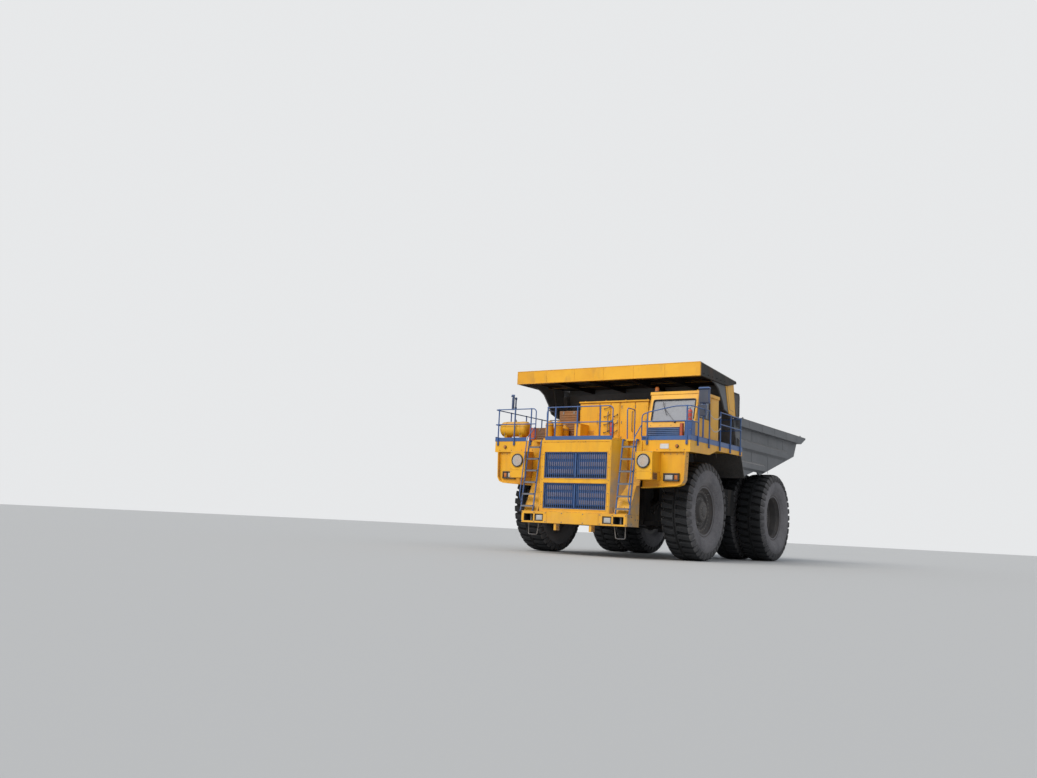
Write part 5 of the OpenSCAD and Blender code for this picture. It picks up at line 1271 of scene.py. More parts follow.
# Mirrors: bent tube arms, deep housings under hoods, glass facing back, a second housing low on the left
def makeMirrors():
    look = {"pole": 3.33, "y": -1.18, "housing": 3.39, "middle": 4.78, "turn": -52, "arm": 0.014,
            "clamps": (4.62, 4.94), "lowArm": 4.37}
    upper = [(-0.165, 4.565), (0.165, 4.565), (0.17, 4.58), (0.17, 4.98), (0.16, 4.995), (-0.16, 4.995),
             (-0.17, 4.98), (-0.17, 4.58)]
    lower = [(-0.12, 4.2), (0.12, 4.2), (0.13, 4.22), (0.13, 4.52), (0.12, 4.54), (-0.12, 4.54),
             (-0.13, 4.52), (-0.13, 4.22)]
    hood = [(-0.185, 5.0), (0.185, 5.0), (0.15, 5.048), (-0.15, 5.048)]
    bm = bmesh.new()
    for s in bothSides:
        x, y, mid, z0 = s * look["pole"], look["y"], s * look["housing"], look["middle"]
        addTube(bm, [(x, y, deckTop), (x, y, 4.98)], 0.024, 0, 14)
        addBox(bm, (x - 0.06, y - 0.06, deckTop + 0.001), (x + 0.06, y + 0.06, deckTop + 0.015), bevel=0.003)
        addBolts(bm, [(x + a, y + b, deckTop + 0.015) for a in (-0.04, 0.04) for b in (-0.04, 0.04)], upward,
                 0.008, 3)
        for z in look["clamps"]:
            addBand(bm, (x, y, z - 0.03), upward, 0.024, 0.038, 0.06, 16)
            addTube(bm, [(x, y, z), (x, y - 0.06, z)], look["arm"], 0, 10)
        before = set(bm.verts)
        addPlate(bm, "y", y - 0.1, y - 0.05, [(mid + a, z) for a, z in upper], 1, 0.01)
        swell = [(mid + a * 0.82, z0 + (z - z0) * 0.86) for a, z in upper]
        addPlate(bm, "y", y - 0.118, y - 0.098, swell, 1, 0.01)
        addBox(bm, (mid - 0.148, y - 0.056, 4.585), (mid + 0.148, y - 0.044, 4.975), 2, 0.004)
        if s > 0:
            addPlate(bm, "y", y - 0.105, y - 0.05, [(x + a, z) for a, z in lower], 1, 0.01)
            addBox(bm, (x - 0.11, y - 0.056, 4.225), (x + 0.11, y - 0.044, 4.515), 2, 0.004)
            addTube(bm, [(x, y, look["lowArm"]), (x, y - 0.06, look["lowArm"])], look["arm"], 0, 10)
        addPlate(bm, "y", y - 0.15, y - 0.04, [(mid + a, z) for a, z in hood], bevel=0.008)
        if s < 0:
            bmesh.ops.rotate(bm, cent=(mid, y - 0.09, z0),
                             matrix=Matrix.Rotation(radians(look["turn"]), 3, "Z"),
                             verts=[v for v in bm.verts if v not in before])
    makePiece(bm, "armMirrors", "chassis", ["bluePaint", "mirrorBack", "mirrorGlass", "bareSteel"],
              stands=["mirrors"])


def makeBeacon():
    look = {"at": (1.73, -1.0, 4.98), "ribs": 18, "pitch": 0.006, "ribDepth": 0.0015}
    ribs = [(0.04 + look["pitch"] * i, 0.061 + look["ribDepth"] * (i % 2)) for i in range(look["ribs"])]
    lens = [(0.036, 0.06)] + ribs + [(0.155, 0.056), (0.17, 0.044), (0.178, 0.024), (0.18, 0.0)]
    bm = bmesh.new()
    addTurned(bm, look["at"], upward, [(0, 0.085), (0.028, 0.085), (0.036, 0.078), (0.04, 0.066)], 32, 1)
    addTurned(bm, look["at"], upward, lens, 32)
    makePiece(bm, "beaconLamp", "chassis", ["amberLens", "blackPlastic"], stands=["beacon"])


makeCabTrim()
makeDoorTrim()
makeSeat()
makeSeatBase()
makeControls()
makeMirrors()
makeBeacon()
print("cab dressed")


# Deck: louvre and box by the cab, bottles, cabinets, air tank, canisters and rusty boxes

# Sheets round sloping slats under the windscreen, and the blue box beside them
def makeLouvre():
    look = {"x": (1.84, 2.87), "y": (-1.802, -1.54), "high": 0.39, "sheet": 0.012, "slats": 5,
            "slatPitch": 0.053, "bolts": (1.87, 2.12, 2.36, 2.6, 2.84), "boxX": (3.043, 3.277),
            "boxY": (-1.848, -1.602), "boxTop": 3.985}
    bm = bmesh.new()
    (x0, x1), (y0, y1), sheet, top = look["x"], look["y"], look["sheet"], deckTop + look["high"]
    for x in (x0, x1 - sheet):
        addPlate(bm, "x", x, x + sheet, [(y0, deckTop), (y0, top), (y1, top), (y1, deckTop)], bevel=0.003)
    addBox(bm, (x0, y0, deckTop), (x1, y0 + sheet, deckTop + 0.1), bevel=0.003)
    addBox(bm, (x0, y0, top - 0.015), (x1, y1, top - 0.002), bevel=0.003)
    # Near-black plate behind the slats: painted shade
    addBox(bm, (x0 + 0.02, -1.72, deckTop + 0.02), (x1 - 0.02, -1.7, top - 0.02), 1)
    for i in range(look["slats"]):
        z = deckTop + 0.115 + i * look["slatPitch"]
        slat = [(-1.8, z), (-1.794, z + 0.001), (-1.765, z + 0.048), (-1.77, z + 0.05)]
        addPlate(bm, "x", x0 + sheet, x1 - sheet, slat)
    addBolts(bm, [(x, y0 - 0.001, deckTop + 0.05) for x in look["bolts"]], forward, 0.008, 2)
    (x0, x1), (y0, y1), top = look["boxX"], look["boxY"], look["boxTop"]
    addBox(bm, (x0, y0, deckTop), (x1, y1, top), bevel=0.008)
    addBox(bm, (x0 - 0.007, y0 - 0.008, top), (x1 + 0.007, y1 + 0.008, top + 0.015), bevel=0.004)
    addBox(bm, (x0 + 0.022, y0 - 0.007, 3.5), (x1 - 0.022, y0 + 0.002, 3.95), bevel=0.004)
    addTurned(bm, (3.235, y0 - 0.008, 3.74), forward, [(0, 0.018), (0.012, 0.016), (0.014, 0.0)], 12, 2)
    for z in (3.56, 3.89):
        addBar(bm, (3.062, y0 - 0.01, z - 0.03), (3.062, y0 - 0.01, z + 0.03), 0.009, 2, 10)
    makePiece(bm, "frontLouvre", "chassis", ["bluePaint", "recessShadeBlack", "bareSteel"], 32,
              stands=["front_louvre"])


# Bottles with valves, hoses and clamp bands, and two orange cases with lids and catches
def makeFireGear():
    look = {"bottles": ((1.09, -2.59, deckTop, 0.49), (3.16, -1.725, 4.0, 0.35)), "radius": 0.06,
            "clamps": (0.28, 0.68),
            "cases": (((-2.2, -2.01, 3.44), (-1.98, -1.9, 3.86)),
                      ((2.89, -1.84, 3.44), (2.985, -1.74, 3.94)))}
    valve = [(0.005, 0.0), (0.005, 0.022), (0.045, 0.022), (0.055, 0.014), (0.06, 0.0)]
    bm = bmesh.new()
    radius = look["radius"]
    for x, y, z, high in look["bottles"]:
        top = z + high
        bottle = [(0.0, 0.05), (0.012, 0.058), (0.03, radius), (high - 0.07, radius), (high - 0.035, 0.052),
                  (high - 0.01, 0.03), (high + 0.012, 0.021), (high + 0.02, 0.0)]
        addTurned(bm, (x, y, z), upward, bottle, 28)
        addTurned(bm, (x, y, top), upward, valve, 16, 1)
        lever = [(x, y, top + 0.045), (x + 0.05, y - 0.01, top + 0.06), (x + 0.09, y - 0.01, top + 0.068)]
        hose = [(x - 0.02, y, top + 0.03), (x - 0.075, y, top + 0.02), (x - 0.085, y, top - 0.12),
                (x - 0.072, y, z + 0.12)]
        addPipe(bm, lever, 0.02, 0.007, 1)
        addPipe(bm, hose, 0.05, 0.009, 2)
        for t in look["clamps"]:
            addBand(bm, (x, y, z + high * t), upward, radius + 0.0005, radius + 0.004, 0.022, 28, 1)
    for low, high in look["cases"]:
        face = low[1] - 0.006
        addBox(bm, low, high, 3, 0.01)
        lid = (low[0] + 0.014, face, low[2] + 0.03), (high[0] - 0.014, face + 0.01, high[2] - 0.03)
        addBox(bm, *lid, 3, 0.004)
        addTurned(bm, (high[0] - 0.03, face, (low[2] + high[2]) / 2), forward,
                  [(0, 0.01), (0.008, 0.009), (0.009, 0.0)], 12, 1)
    makePiece(bm, "fireBottles", "chassis", ["redPaint", "bareSteel", "blackPlastic", "orangePaint"],
              stands=["fire_gear"])


# Cabinets: door leaves with rounded edges, hinges, handles, vents, cable loops, roof lip and lifting eyes
def makeCabinets():
    look = {"face": -0.98, "hinges": (3.62, 4.1, 4.58), "barLeaves": (1, 3), "vents": 6, "ventPitch": 0.035,
            "leaves": ((-0.94, -0.25), (-0.23, 0.15), (0.18, 0.47), (0.54, 1.0), (1.015, 1.45)),
            "cables": ((0.03, 4, 0.1), (0.345, 3, 0.06)), "cablePitch": 0.25,
            "eyes": (-0.85, -0.1, 0.6, 1.35), "walls": (-0.962, 1.472), "seams": (-0.93, -0.69, -0.45)}
    bm = bmesh.new()
    face = look["face"]
    for i, (x0, x1) in enumerate(look["leaves"]):
        hinge, x = x0 + 0.004, x1 - 0.07
        addBox(bm, (hinge, face - 0.026, 3.484), (x1 - 0.004, face - 0.018, 4.706), bevel=0.004)
        addBox(bm, (x0 + 0.05, face - 0.03, 3.56), (x1 - 0.05, face - 0.024, 4.63), bevel=0.006)
        for z in look["hinges"]:
            addBar(bm, (hinge, face - 0.03, z - 0.045), (hinge, face - 0.03, z + 0.045), 0.011, 1, 10)
        if i in look["barLeaves"]:
            bar = ((0.026, 3.8), (0.075, 3.84), (0.075, 4.4), (0.026, 4.44))
            addPipe(bm, [(x, face - out, z) for out, z in bar], 0.04, 0.011, 1, 10)
        else:
            addBox(bm, (x - 0.005, face - 0.04, 4.06), (x + 0.025, face - 0.024, 4.18), 1, 0.004)
    for k in range(look["vents"]):
        z = 3.66 + k * look["ventPitch"]
        addPlate(bm, "x", -0.84, -0.42,
                 [(face - 0.03, z), (face - 0.044, z + 0.004), (face - 0.03, z + 0.024)])
    for x, count, wide in look["cables"]:
        for k in range(count):
            z = 3.8 + k * look["cablePitch"]
            loop = [(x - wide, face - 0.026, z), (x - wide * 0.9, face - 0.08, z - 0.03),
                    (x + wide * 0.8, face - 0.09, z + 0.01), (x + wide, face - 0.026, z + 0.06)]
            addPipe(bm, loop, 0.05, 0.011, 2)
    addBox(bm, (-0.978, -1.036, 4.735), (1.488, -1.026, 4.78), bevel=0.003)
    addBolts(bm, rowPlaces((-0.93, -0.7, 4.776), (1.44, -0.7, 4.776), 9), upward, 0.011, 1)
    for x in look["eyes"]:
        addBand(bm, (x, -0.85, 4.8), (1, 0, 0), 0.014, 0.034, 0.016, 16, start=-0.008)
    for x in look["walls"]:
        for y in look["seams"]:
            addTube(bm, [(x, y, 3.46), (x, y, 4.72)], 0.005, 0, 6)
    # Lid and catch of the low box
    addBox(bm, (-0.85, -1.512, 4.008), (-0.61, -1.0, 4.024), bevel=0.004)
    addBox(bm, (-0.76, -1.512, 3.92), (-0.7, -1.498, 4.01), 1, 0.003)
    makePiece(bm, "cabinetDoors", "chassis", ["yellowPaint", "bareSteel", "blackPlastic"], 32)


# Filter canister with its cap, bands and clamps
def addCanister(bm, x, y, high):
    radius, wall = 0.128, high - 0.08
    profile = [(0.0, 0.118), (0.008, radius), (wall - 0.005, radius), (wall, 0.131), (high - 0.03, 0.131),
               (high - 0.005, 0.12), (high, 0.1), (high, 0.06), (high + 0.045, 0.06), (high + 0.058, 0.048),
               (high + 0.06, 0.0)]
    addTurned(bm, (x, y, deckTop), upward, profile, 36)
    for z in (deckTop + 0.14, deckTop + high - 0.1):
        addBand(bm, (x, y, z), upward, radius, radius + 0.0055, 0.018, 36, 1)
        addBox(bm, (x - 0.016, y - 0.152, z - 0.003), (x + 0.016, y - 0.13, z + 0.021), 1, 0.003)


# Air tank with domed ends on strapped feet, its fittings and pipe, and the canisters
def makeAirTank():
    look = {"y": -1.88, "z": 3.835, "radius": 0.24, "ends": (-3.32, -2.28), "welds": (-3.205, -2.395),
            "straps": (-3.09, -2.51), "canisterX": (-1.76, -1.42), "canisterY": (-1.5, -1.12),
            "high": (0.62, 0.52)}
    dome = [(0.0, 0.0), (0.004, 0.08), (0.018, 0.15), (0.04, 0.2), (0.075, 0.232), (0.105, 0.2395)]
    y, z, radius = look["y"], look["z"], look["radius"]
    foot = [(y - 0.1, 3.441), (y + 0.1, 3.441), (y + 0.16, 3.66), (y + 0.1, 3.63), (y, 3.598),
            (y - 0.1, 3.63), (y - 0.16, 3.66)]
    weld = [(-0.008, radius - 0.002), (-0.005, radius + 0.0005), (0.005, radius + 0.0005),
            (0.008, radius - 0.002)]
    bm = bmesh.new()
    start, end = look["ends"]
    outline = [(start + a, r) for a, r in dome] + [(end - a, r) for a, r in reversed(dome)]
    addTurned(bm, (0, y, z), (1, 0, 0), outline)
    for x in look["welds"]:
        addTurned(bm, (x, y, z), (1, 0, 0), weld, closed=True)
    for x in look["straps"]:
        addBand(bm, (x, y, z), (1, 0, 0), radius, radius + 0.005, 0.06, 48, start=-0.03)
        addPlate(bm, "x", x - 0.05, x + 0.05, foot)
        addBar(bm, (x, y - 0.2, 3.6), (x, y - 0.2, 3.72), 0.008, 1, 8)
        addBolts(bm, [(x - 0.03, y - 0.085, 3.452), (x + 0.03, y - 0.085, 3.452)], upward, 0.009, 1)
    # Fittings: place along, low and high end from the middle, radius, sides
    for x, low, high, size, sides in ((-2.8, 0.235, 0.275, 0.026, 16), (-2.8, 0.27, 0.315, 0.012, 12),
                                      (-2.95, -0.238, -0.275, 0.012, 10)):
        addBar(bm, (x, y, z + low), (x, y, z + high), size, 1, sides)
    addPipe(bm, [(-2.283, y, z), (-2.235, y, z), (-2.225, y + 0.02, z - 0.06), (-2.225, y + 0.04, 3.445)],
            0.05, 0.013, 1, 10)
    left, right = look["canisterX"]
    for cy, high in zip(look["canisterY"], look["high"]):
        for x in (left, right):
            addCanister(bm, x, cy, high)
        top = deckTop + high + 0.045
        addPipe(bm, [(left, cy, top), (left, cy, top + 0.035), (right, cy, top + 0.035), (right, cy, top)],
                0.03, 0.018, 1, 10)
    makePiece(bm, "airTank", "chassis", ["yellowPaint", "bareSteel"], stands=["air_tank"])


# Rusty boxes on the deck: lids, corner angles, resistor slats and catches
def makeDeckBoxes():
    look = {"boxes": (((-1.74, -0.95), (-1.05, -0.3), 4.5), ((-3.0, -0.4), (-2.3, 0.5), 4.04)), "foot": 3.442,
            "slatFoot": 3.54, "slatPitch": 0.075}
    bm = bmesh.new()
    for (x0, y0), (x1, y1), top in look["boxes"]:
        addBox(bm, (x0 - 0.006, y0 - 0.006, top - 0.045), (x1 + 0.006, y1 + 0.006, top + 0.006), bevel=0.006)
        for x, sx in ((x0, 1), (x1, -1)):
            for y, sy in ((y0, 1), (y1, -1)):
                corner = (x - sx * 0.005, y - sy * 0.005, look["foot"])
                addBox(bm, corner, (x + sx * 0.045, y + sy * 0.001, top - 0.04), bevel=0.002)
                addBox(bm, corner, (x + sx * 0.001, y + sy * 0.045, top - 0.04), bevel=0.002)
        for k in range(int((top - 3.6) / look["slatPitch"])):
            z = look["slatFoot"] + k * look["slatPitch"]
            addPlate(bm, "x", x0 + 0.06, x1 - 0.06,
                     [(y0 + 0.001, z), (y0 - 0.014, z + 0.006), (y0 - 0.002, z + 0.045)])
        for x in (x0 + 0.15, x1 - 0.15):
            addBox(bm, (x - 0.025, y0 - 0.016, top - 0.1), (x + 0.025, y0 - 0.004, top - 0.01), 1, 0.003)
    makePiece(bm, "deckBoxTrim", "chassis", ["rustPaint", "bareSteel"], 32)


makeLouvre()
makeFireGear()
makeCabinets()
makeAirTank()
makeDeckBoxes()
print("deck dressed")


# Below the deck: tanks, struts, engine, axle, knuckles, hoists, rear lamps and mud guards

trimLooks = ["framePaint", "bareSteel", "blackPlastic"]


# Side tanks: straps with their bolts, filler cap, breather, sight glass, drain and round end cover
def makeTankTrim():
    # Of each tank: side of the truck, far face across, height of the underside
    look = {"tanks": ((1, 2.4, 1.45), (-1, 2.42, 1.25)), "y": (2.1, 3.62), "top": 2.3, "corner": 0.14,
            "straps": (1.15, 1.95), "lift": 0.004, "coverY": 2.86}
    cap = [(0, 0.1), (0.04, 0.095), (0.05, 0.085), (0.055, 0.0)]
    breather = [(0, 0.035), (0.07, 0.035), (0.08, 0.05), (0.13, 0.05), (0.14, 0.0)]
    cover = [(-0.004, 0.24), (0.012, 0.235), (0.018, 0.2), (0.019, 0.0)]
    bm = bmesh.new()
    (y0, y1), top, r, lift, coverY = look["y"], look["top"], look["corner"], look["lift"], look["coverY"]
    for s, far, low in look["tanks"]:
        ring = [(y0 - lift, low + r), (y0 - lift, top - r), (y0 + r, top + lift), (y1 - r, top + lift),
                (y1 + lift, top - r), (y1 + lift, low + r), (y1 - r, low - lift), (y0 + r, low - lift)]
        for x in look["straps"]:
            addPipe(bm, [(s * x, y, z) for y, z in ring + ring[:2]], 0.1, 0.02, 0, 6, flat=0.25, steps=3)
            addBar(bm, (s * x, y0 - 0.02, low + 0.3), (s * x, y0 - 0.02, low + 0.42), 0.013, 1, 10)
        addTurned(bm, (s * 2.15, 2.55, top - 0.002), upward, cap, 28, 1)
        addTurned(bm, (s * 1.65, 2.95, top - 0.002), upward, breather, 20, 1)
        addBox(bm, (s * (far - 0.002), 2.36, low + 0.25), (s * (far + 0.016), 2.42, low + 0.6), 1, 0.004)
        addBox(bm, (s * (far + 0.014), 2.375, low + 0.28), (s * (far + 0.02), 2.405, low + 0.57), 2)
        addBar(bm, (s * 2.2, coverY, low + 0.002), (s * 2.2, coverY, low - 0.03), 0.028, 1, 12)
        middle, out = (low + top) / 2, (s, 0, 0)
        addTurned(bm, (s * far, coverY, middle), out, cover, 40)
        bolts = ringPlaces((s * (far + 0.015), coverY, middle), out, 0.215, 16)
        addBolts(bm, bolts, out, 0.009, 1, washer=False)
    makePiece(bm, "tankTrim", "chassis", ["framePaint", "bareSteel", "amberLens"])


def addFan(bm):
    look = {"hub": (0, -2.1, 2.22), "y": (-2.165, -2.157), "z": 2.22, "blades": 8, "twist": 0.4}
    blade = [(0.11, -0.02), (0.53, -0.09), (0.54, 0.05), (0.11, 0.05)]
    addTurned(bm, look["hub"], forward, [(0, 0.56), (0.12, 0.58), (0.12, 0.6), (0, 0.6)], closed=True)
    addTurned(bm, look["hub"], forward, [(0, 0.12), (0.08, 0.12), (0.09, 0.1), (0.09, 0.0)], 24)
    for a in (2 * pi * k / look["blades"] for k in range(look["blades"])):
        flat = [(r * cos(a) - w * sin(a), w * look["twist"], look["z"] + r * sin(a) + w * cos(a))
                for r, w in blade]
        front, back = ([bm.verts.new((x, y + lean, z)) for x, lean, z in flat] for y in look["y"])
        made = [bm.faces.new((front[i - 1], front[i], back[i], back[i - 1])) for i in range(4)]
        markFaces(made + [bm.faces.new(front), bm.faces.new(back)], 2)


# Front struts' collars and hoses, lines clipped along the frame; fan, manifolds and ports on the engine
def makeStrutTrim():
    look = {"x": 1.85, "collars": ((1.765, 0.05), (2.22, 0.03)), "lineX": 0.792, "lines": (1.46, 1.4),
            "clips": (-2.0, -1.2, 0.5, 0.9), "engineX": 0.642, "ports": 6, "portPitch": 0.24}
    hose = ((0.14, -0.05, 2.1), (0.2, -0.06, 2.12), (0.2, -0.16, 2.28), (0.02, -0.24, 2.26))
    bm = bmesh.new()
    x, line = look["x"], look["lineX"]
    for z, high in look["collars"]:
        addBand(bm, (x, 0, z), upward, 0.149, 0.164, high)
    addBolts(bm, ringPlaces((x, 0, 1.764), upward, 0.132, 12), (0, 0, -1), 0.01, 1)
    addPipe(bm, [(x + a, y, z) for a, y, z in hose], 0.05, 0.014, 2)
    for z in look["lines"]:
        points = [(line, -2.3, z), (line, 1.0, z), (line, 1.25, z + 0.28), (line, 2.0, z + 0.3)]
        addPipe(bm, points, 0.15, 0.013, 2)
    for y in look["clips"]:
        addBox(bm, (0.779, y, 1.375), (0.812, y + 0.03, 1.485), 1, 0.003)
    x = look["engineX"]
    addBox(bm, (x, -1.95, 2.05), (x + 0.05, -0.5, 2.35), bevel=0.02)
    for y in (-1.85 + i * look["portPitch"] for i in range(look["ports"])):
        port = [(x, y, 2.62), (x + 0.07, y, 2.6), (x + 0.09, y + 0.04, 2.4), (x + 0.05, y + 0.05, 2.3)]
        addPipe(bm, port, 0.05, 0.026, 0, 10)
    addBolts(bm, rowPlaces((x, -1.9, 2.8), (x, -0.5, 2.8), 7), (1, 0, 0), 0.014, 1)
    mirrorAcross(bm)
    addFan(bm)
    makePiece(bm, "strutAndEngineTrim", "chassis", trimLooks)


# Rear axle's tube flanges and round cover; the rear struts' collars, gaiters and pin caps
def makeAxleTrim():
    look = {"flanges": (0.49, 1.1), "strut": ((1.06, 0.42, 1.25), (1.06, 0.8, 2.2)), "collars": (0.452, 0.93),
            "gaiter": 0.4}
    gaiter = [(0, 0.081), (0, 0.096), (0.05, 0.112), (0.055, 0.081)]
    cover = [(0, 0.33), (0.03, 0.33), (0.04, 0.3), (0.055, 0.18), (0.06, 0.0)]
    y, z, out = wheelBase, axleHeight, (1, 0, 0)
    bm = bmesh.new()
    for x in look["flanges"]:
        addBand(bm, (x, y, z), out, 0.229, 0.29, 0.035, 40)
        addBolts(bm, ringPlaces((x + 0.035, y, z), out, 0.265, 18), out, 0.013, 1)
    low, high = (Vector((a, y + b, c)) for a, b, c in look["strut"])
    u = (high - low).normalized()
    for t in look["collars"]:
        addBand(bm, low + u * t, u, 0.119, 0.136, 0.035, 32)
    addTurned(bm, low + u * look["gaiter"], u, gaiter, 28, 2, closed=True)
    for end in (low, high):
        addTurned(bm, end + Vector((0.082, 0, 0)), out, [(0, 0.07), (0.012, 0.068), (0.014, 0.0)], 24, 1)
    mirrorAcross(bm)
    addTurned(bm, (0, y + 0.405, z), backward, cover, 40)
    addBolts(bm, ringPlaces((0, y + 0.435, z), backward, 0.305, 14), backward, 0.014, 1)
    makePiece(bm, "axleTrim", "chassis", trimLooks)


# Collars, flange bolts and hose of one knuckle
def makeKnuckleTrim(s):
    look = {"x": 1.85, "flangeX": 2.04, "collars": ((1.145, 0.18, 0.03), (1.655, 0.176, 0.028))}
    hose = ((0, -0.166, 1.56), (0, -0.22, 1.55), (0.1, -0.24, 1.5), (0.18, -0.17, 1.48))
    bm = bmesh.new()
    x, out = s * look["x"], (s, 0, 0)
    for z, outer, high in look["collars"]:
        addBand(bm, (x, 0, z), upward, 0.164, outer, high)
    addBand(bm, (s * look["flangeX"], 0, axleHeight), out, 0.152, 0.2, 0.03)
    addBolts(bm, ringPlaces((s * (look["flangeX"] + 0.03), 0, axleHeight), out, 0.178, 12), out, 0.01, 1)
    addPipe(bm, [(x + s * a, y, z) for a, y, z in hose], 0.04, 0.011, 2)
    makePiece(bm, "knuckleTrim_" + sideName(s), "knuckle_" + sideName(s), trimLooks)


# Gland, clamps and hose on each hoist barrel
def makeHoistTrim(s):
    look = {"ends": ((1.05, 4.6, 1.05), (1.05, 4.45, 2.95)), "radius": 0.128, "clamp": 0.03,
            "clamps": ((0.3, 0.03), (0.95, 0.03)), "gland": 0.065}
    hose = ((0.33, 0.1), (0.33, 0.185), (0.55, 0.185), (0.95, 0.165))
    bm = bmesh.new()
    low, high = (Vector((s * x, y, z)) for x, y, z in look["ends"])
    u, length, out = (high - low).normalized(), (high - low).length, Vector((s, 0, 0))
    for t, wide in ((length - 0.2, look["gland"]), *look["clamps"]):
        addBand(bm, low + u * t, u, look["radius"], look["radius"] + look["clamp"], wide)
    addPipe(bm, [low + u * t + out * reach for t, reach in hose], 0.05, 0.016, 2, 10)
    addBolts(bm, ringPlaces(low + u * (length - 0.135), u, 0.143, 10), u, 0.009, 1, washer=False)
    makePiece(bm, "hoistTrim_" + sideName(s), "hoist_barrel_" + sideName(s), trimLooks)


def makeRearLamps():
    look = {"y": 6.7, "z": 2.15, "lamps": (0.255, 0.35, 0.445)}
    lens = [(0, 0.04), (0.014, 0.038), (0.02, 0.026), (0.021, 0.0)]
    bm = bmesh.new()
    addBox(bm, (0.2, look["y"] - 0.02, 2.085), (0.5, look["y"] + 0.055, 2.215), bevel=0.008)
    for m, x in enumerate(look["lamps"], 1):
        addTurned(bm, (x, look["y"] + 0.053, look["z"]), backward, lens, 24, m)
    mirrorAcross(bm)
    makePiece(bm, "rearLamps", "chassis", ["blackPlastic", "redLens", "amberLens", "whiteLens"])


# Mud guards: stay bars, bolts and the light edge strip
def makeGuardTrim():
    look = {"stays": (1.8, 2.5, 3.2), "bolts": (1.85, 2.2, 2.6, 3.0, 3.25), "stripX": (3.285, 3.318)}
    strip = [(1.792, 3.42), (1.812, 3.42), (1.87, 3.3), (2.185, 2.66), (2.165, 2.652), (1.85, 3.295)]
    bm = bmesh.new()
    for x in look["stays"]:
        addTube(bm, [(x, 1.775, 3.4), (x, 1.845, 3.26), (x, 2.1, 2.76)], 0.012)
    addBolts(bm, [(x, 1.802, 3.41) for x in look["bolts"]], backward, 0.01)
    addPlate(bm, "x", *look["stripX"], strip, 1)
    mirrorAcross(bm)
    makePiece(bm, "guardTrim", "chassis", ["bareSteel", "greyPaint"])


makeTankTrim()
makeStrutTrim()
makeAxleTrim()
for side in bothSides:
    makeKnuckleTrim(side)
    makeHoistTrim(side)
makeRearLamps()
makeGuardTrim()
print("under side dressed")


# Dump body: corner plates, yellow columns, dark panels standing for painted shade, weld beads, rail lip and
# worn floor seams

wall = {"foot": 2.6, "lean": 1.06 / 2.66, "floor": 2.74, "rise": 0.247}


def wallAt(z):
    return wall["foot"] - (z - wall["floor"]) * wall["lean"]


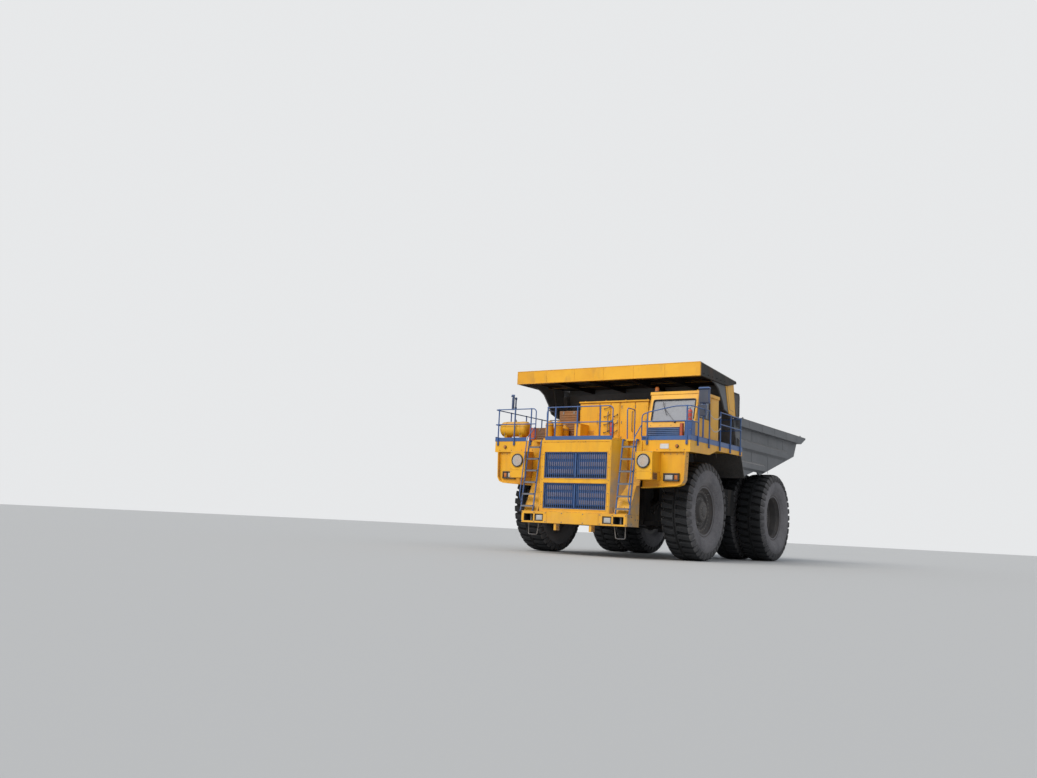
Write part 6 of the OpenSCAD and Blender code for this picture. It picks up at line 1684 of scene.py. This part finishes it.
def makeBodyTrim():
    # Of each ridge: height and rear end; of each seam: place along and foot
    look = {"ridges": ((3.93, 6.88), (3.58, 6.88), (3.25, 4.62), (2.95, 4.62)),
            "seams": ((3.55, 3.0), (5.1, 2.98), (6.6, 3.62)), "pads": (2.9, 4.1, 5.3, 6.5, 7.7),
            "eyes": (2.5, 8.3), "railZ": 4.287, "floorSeams": (3.4, 4.4, 5.4, 6.4, 7.4)}
    corner = [(wallAt(z) + step, z) for z, step in ((4.52, 0), (4.52, 0.03), (5.55, 0.03), (5.55, 0))]
    filler = [(wallAt(4.5) + 0.02, 4.5), (2.255, 4.56), (2.255, 3.61)]
    column = [(0.745, 5.55), (1.405, 5.55), (1.625, 4.505), (1.075, 4.565)]
    inset = [(0.86, 5.47), (1.3, 5.47), (1.48, 4.66), (1.13, 4.7)]
    # Near-black plate with its rim beyond the column, standing for the shade there: painted shade
    dark = [(1.5, 5.3), (2.1, 5.3), (2.15, 5.25), (2.15, 4.62), (2.1, 4.57), (1.74, 4.57), (1.69, 4.61)]
    lip = [(2.14, 4.548), (8.62, 4.548), (8.62, 4.558), (2.14, 4.558)]
    # Outline, places across, finish, bevel
    plates = ((corner, 2.94, 3.137, 0, 0.0), (filler, 2.96, 3.012, 0, 0.0), (column, 3.183, 3.197, 1, 0.004),
              (inset, 3.195, 3.203, 1, 0.003), (dark, 3.098, 3.11, 2, 0.004), (lip, 3.0, 3.205, 3, 0.003))
    bm = bmesh.new()
    for outline, x0, x1, m, bevel in plates:
        addPlate(bm, "x", x0, x1, outline, m, bevel)
    for a, b in ((column[0], column[3]), (column[1], column[2])):
        addTube(bm, [(3.192, *a), (3.192, *b)], 0.012, 1)
    addPipe(bm, [(3.112, y, z) for y, z in dark + dark[:2]], 0.03, 0.014, 2, steps=3)
    for z, end in look["ridges"]:
        addTube(bm, [(3.022, 2.3, z), (3.022, end, z)], 0.009, 0, 6)
    addTube(bm, [(3.024, 2.16, look["railZ"]), (3.024, 8.1, look["railZ"])], 0.01, 0, 6)
    for y in look["pads"]:
        addBox(bm, (3.196, y - 0.06, 4.31), (3.206, y + 0.06, 4.53), bevel=0.003)
    for y, foot in look["seams"]:
        addTube(bm, [(3.021, y, foot), (3.021, y, 4.28)], 0.007, 0, 6)
    for y in look["eyes"]:
        addBand(bm, (3.1, y, 4.575), (1, 0, 0), 0.022, 0.05, 0.024, 20, start=-0.012)
    mirrorAcross(bm)
    for y in look["floorSeams"]:
        z = wall["floor"] + wall["rise"] * (y - wall["foot"]) + 0.062
        addTube(bm, [(-2.9, y, z), (2.9, y, z)], 0.009, 3, 6)
    makePiece(bm, "bodyTrim", "dump_body", ["bodySteel", "yellowPaint", "blackPlastic", "dustySteel"], 32)


# Canopy: folded lip edges, front seams, gussets, side bolts, roof seams and cross ribs under the roof
def makeCanopyTrim():
    look = {"half": 3.235, "lipZ": (5.408, 5.812), "frontSeams": (-2.1, -1.05, 0.0, 1.05, 2.1),
            "gussets": (-2.62, -1.57, -0.52, 0.52, 1.57, 2.62), "roofSeams": (-2.2, -1.1, 0, 1.1, 2.2),
            "ribs": (-0.55, 0.45),
            "ribSpans": ((-3.18, -1.97), (-1.89, -0.77), (-0.69, 0.69), (0.77, 1.89), (1.97, 3.18))}
    bm = bmesh.new()
    half = look["half"]
    addTube(bm, [(half + 0.005, -1.25, 5.41), (half + 0.005, 0.85, 5.41)], 0.01, 1)
    addTube(bm, [(half + 0.005, -1.27, 5.812), (half + 0.005, 1.5, 5.63)], 0.012, 2)
    bolts = rowPlaces((half + 0.011, -1.0, 5.5), (half + 0.011, 0.6, 5.5), 6)
    addBolts(bm, bolts, (1, 0, 0), 0.014, 1)
    mirrorAcross(bm)
    for z in look["lipZ"]:
        addTube(bm, [(-half, -1.286, z), (half, -1.286, z)], 0.012)
    for x in look["frontSeams"]:
        addTube(bm, [(x, -1.291, 5.42), (x, -1.291, 5.8)], 0.005, 0, 6)
    for x in look["gussets"]:
        addPlate(bm, "x", x - 0.012, x + 0.012, [(-1.23, 5.62), (-1.23, 5.79), (-0.98, 5.622)], 1)
    for x in look["roofSeams"]:
        addTube(bm, [(x, -1.22, 5.622), (x, 1.5, 5.622)], 0.008, 2, 6)
    for y in look["ribs"]:
        for x0, x1 in look["ribSpans"]:
            addBox(bm, (x0, y, 5.5), (x1, y + 0.05, 5.558), 1, 0.004)
    makePiece(bm, "canopyTrim", "dump_body", ["yellowPaint", "canopyBlackAndShade", "dustySteel"], 32)


makeBodyTrim()
makeCanopyTrim()
print("body dressed")
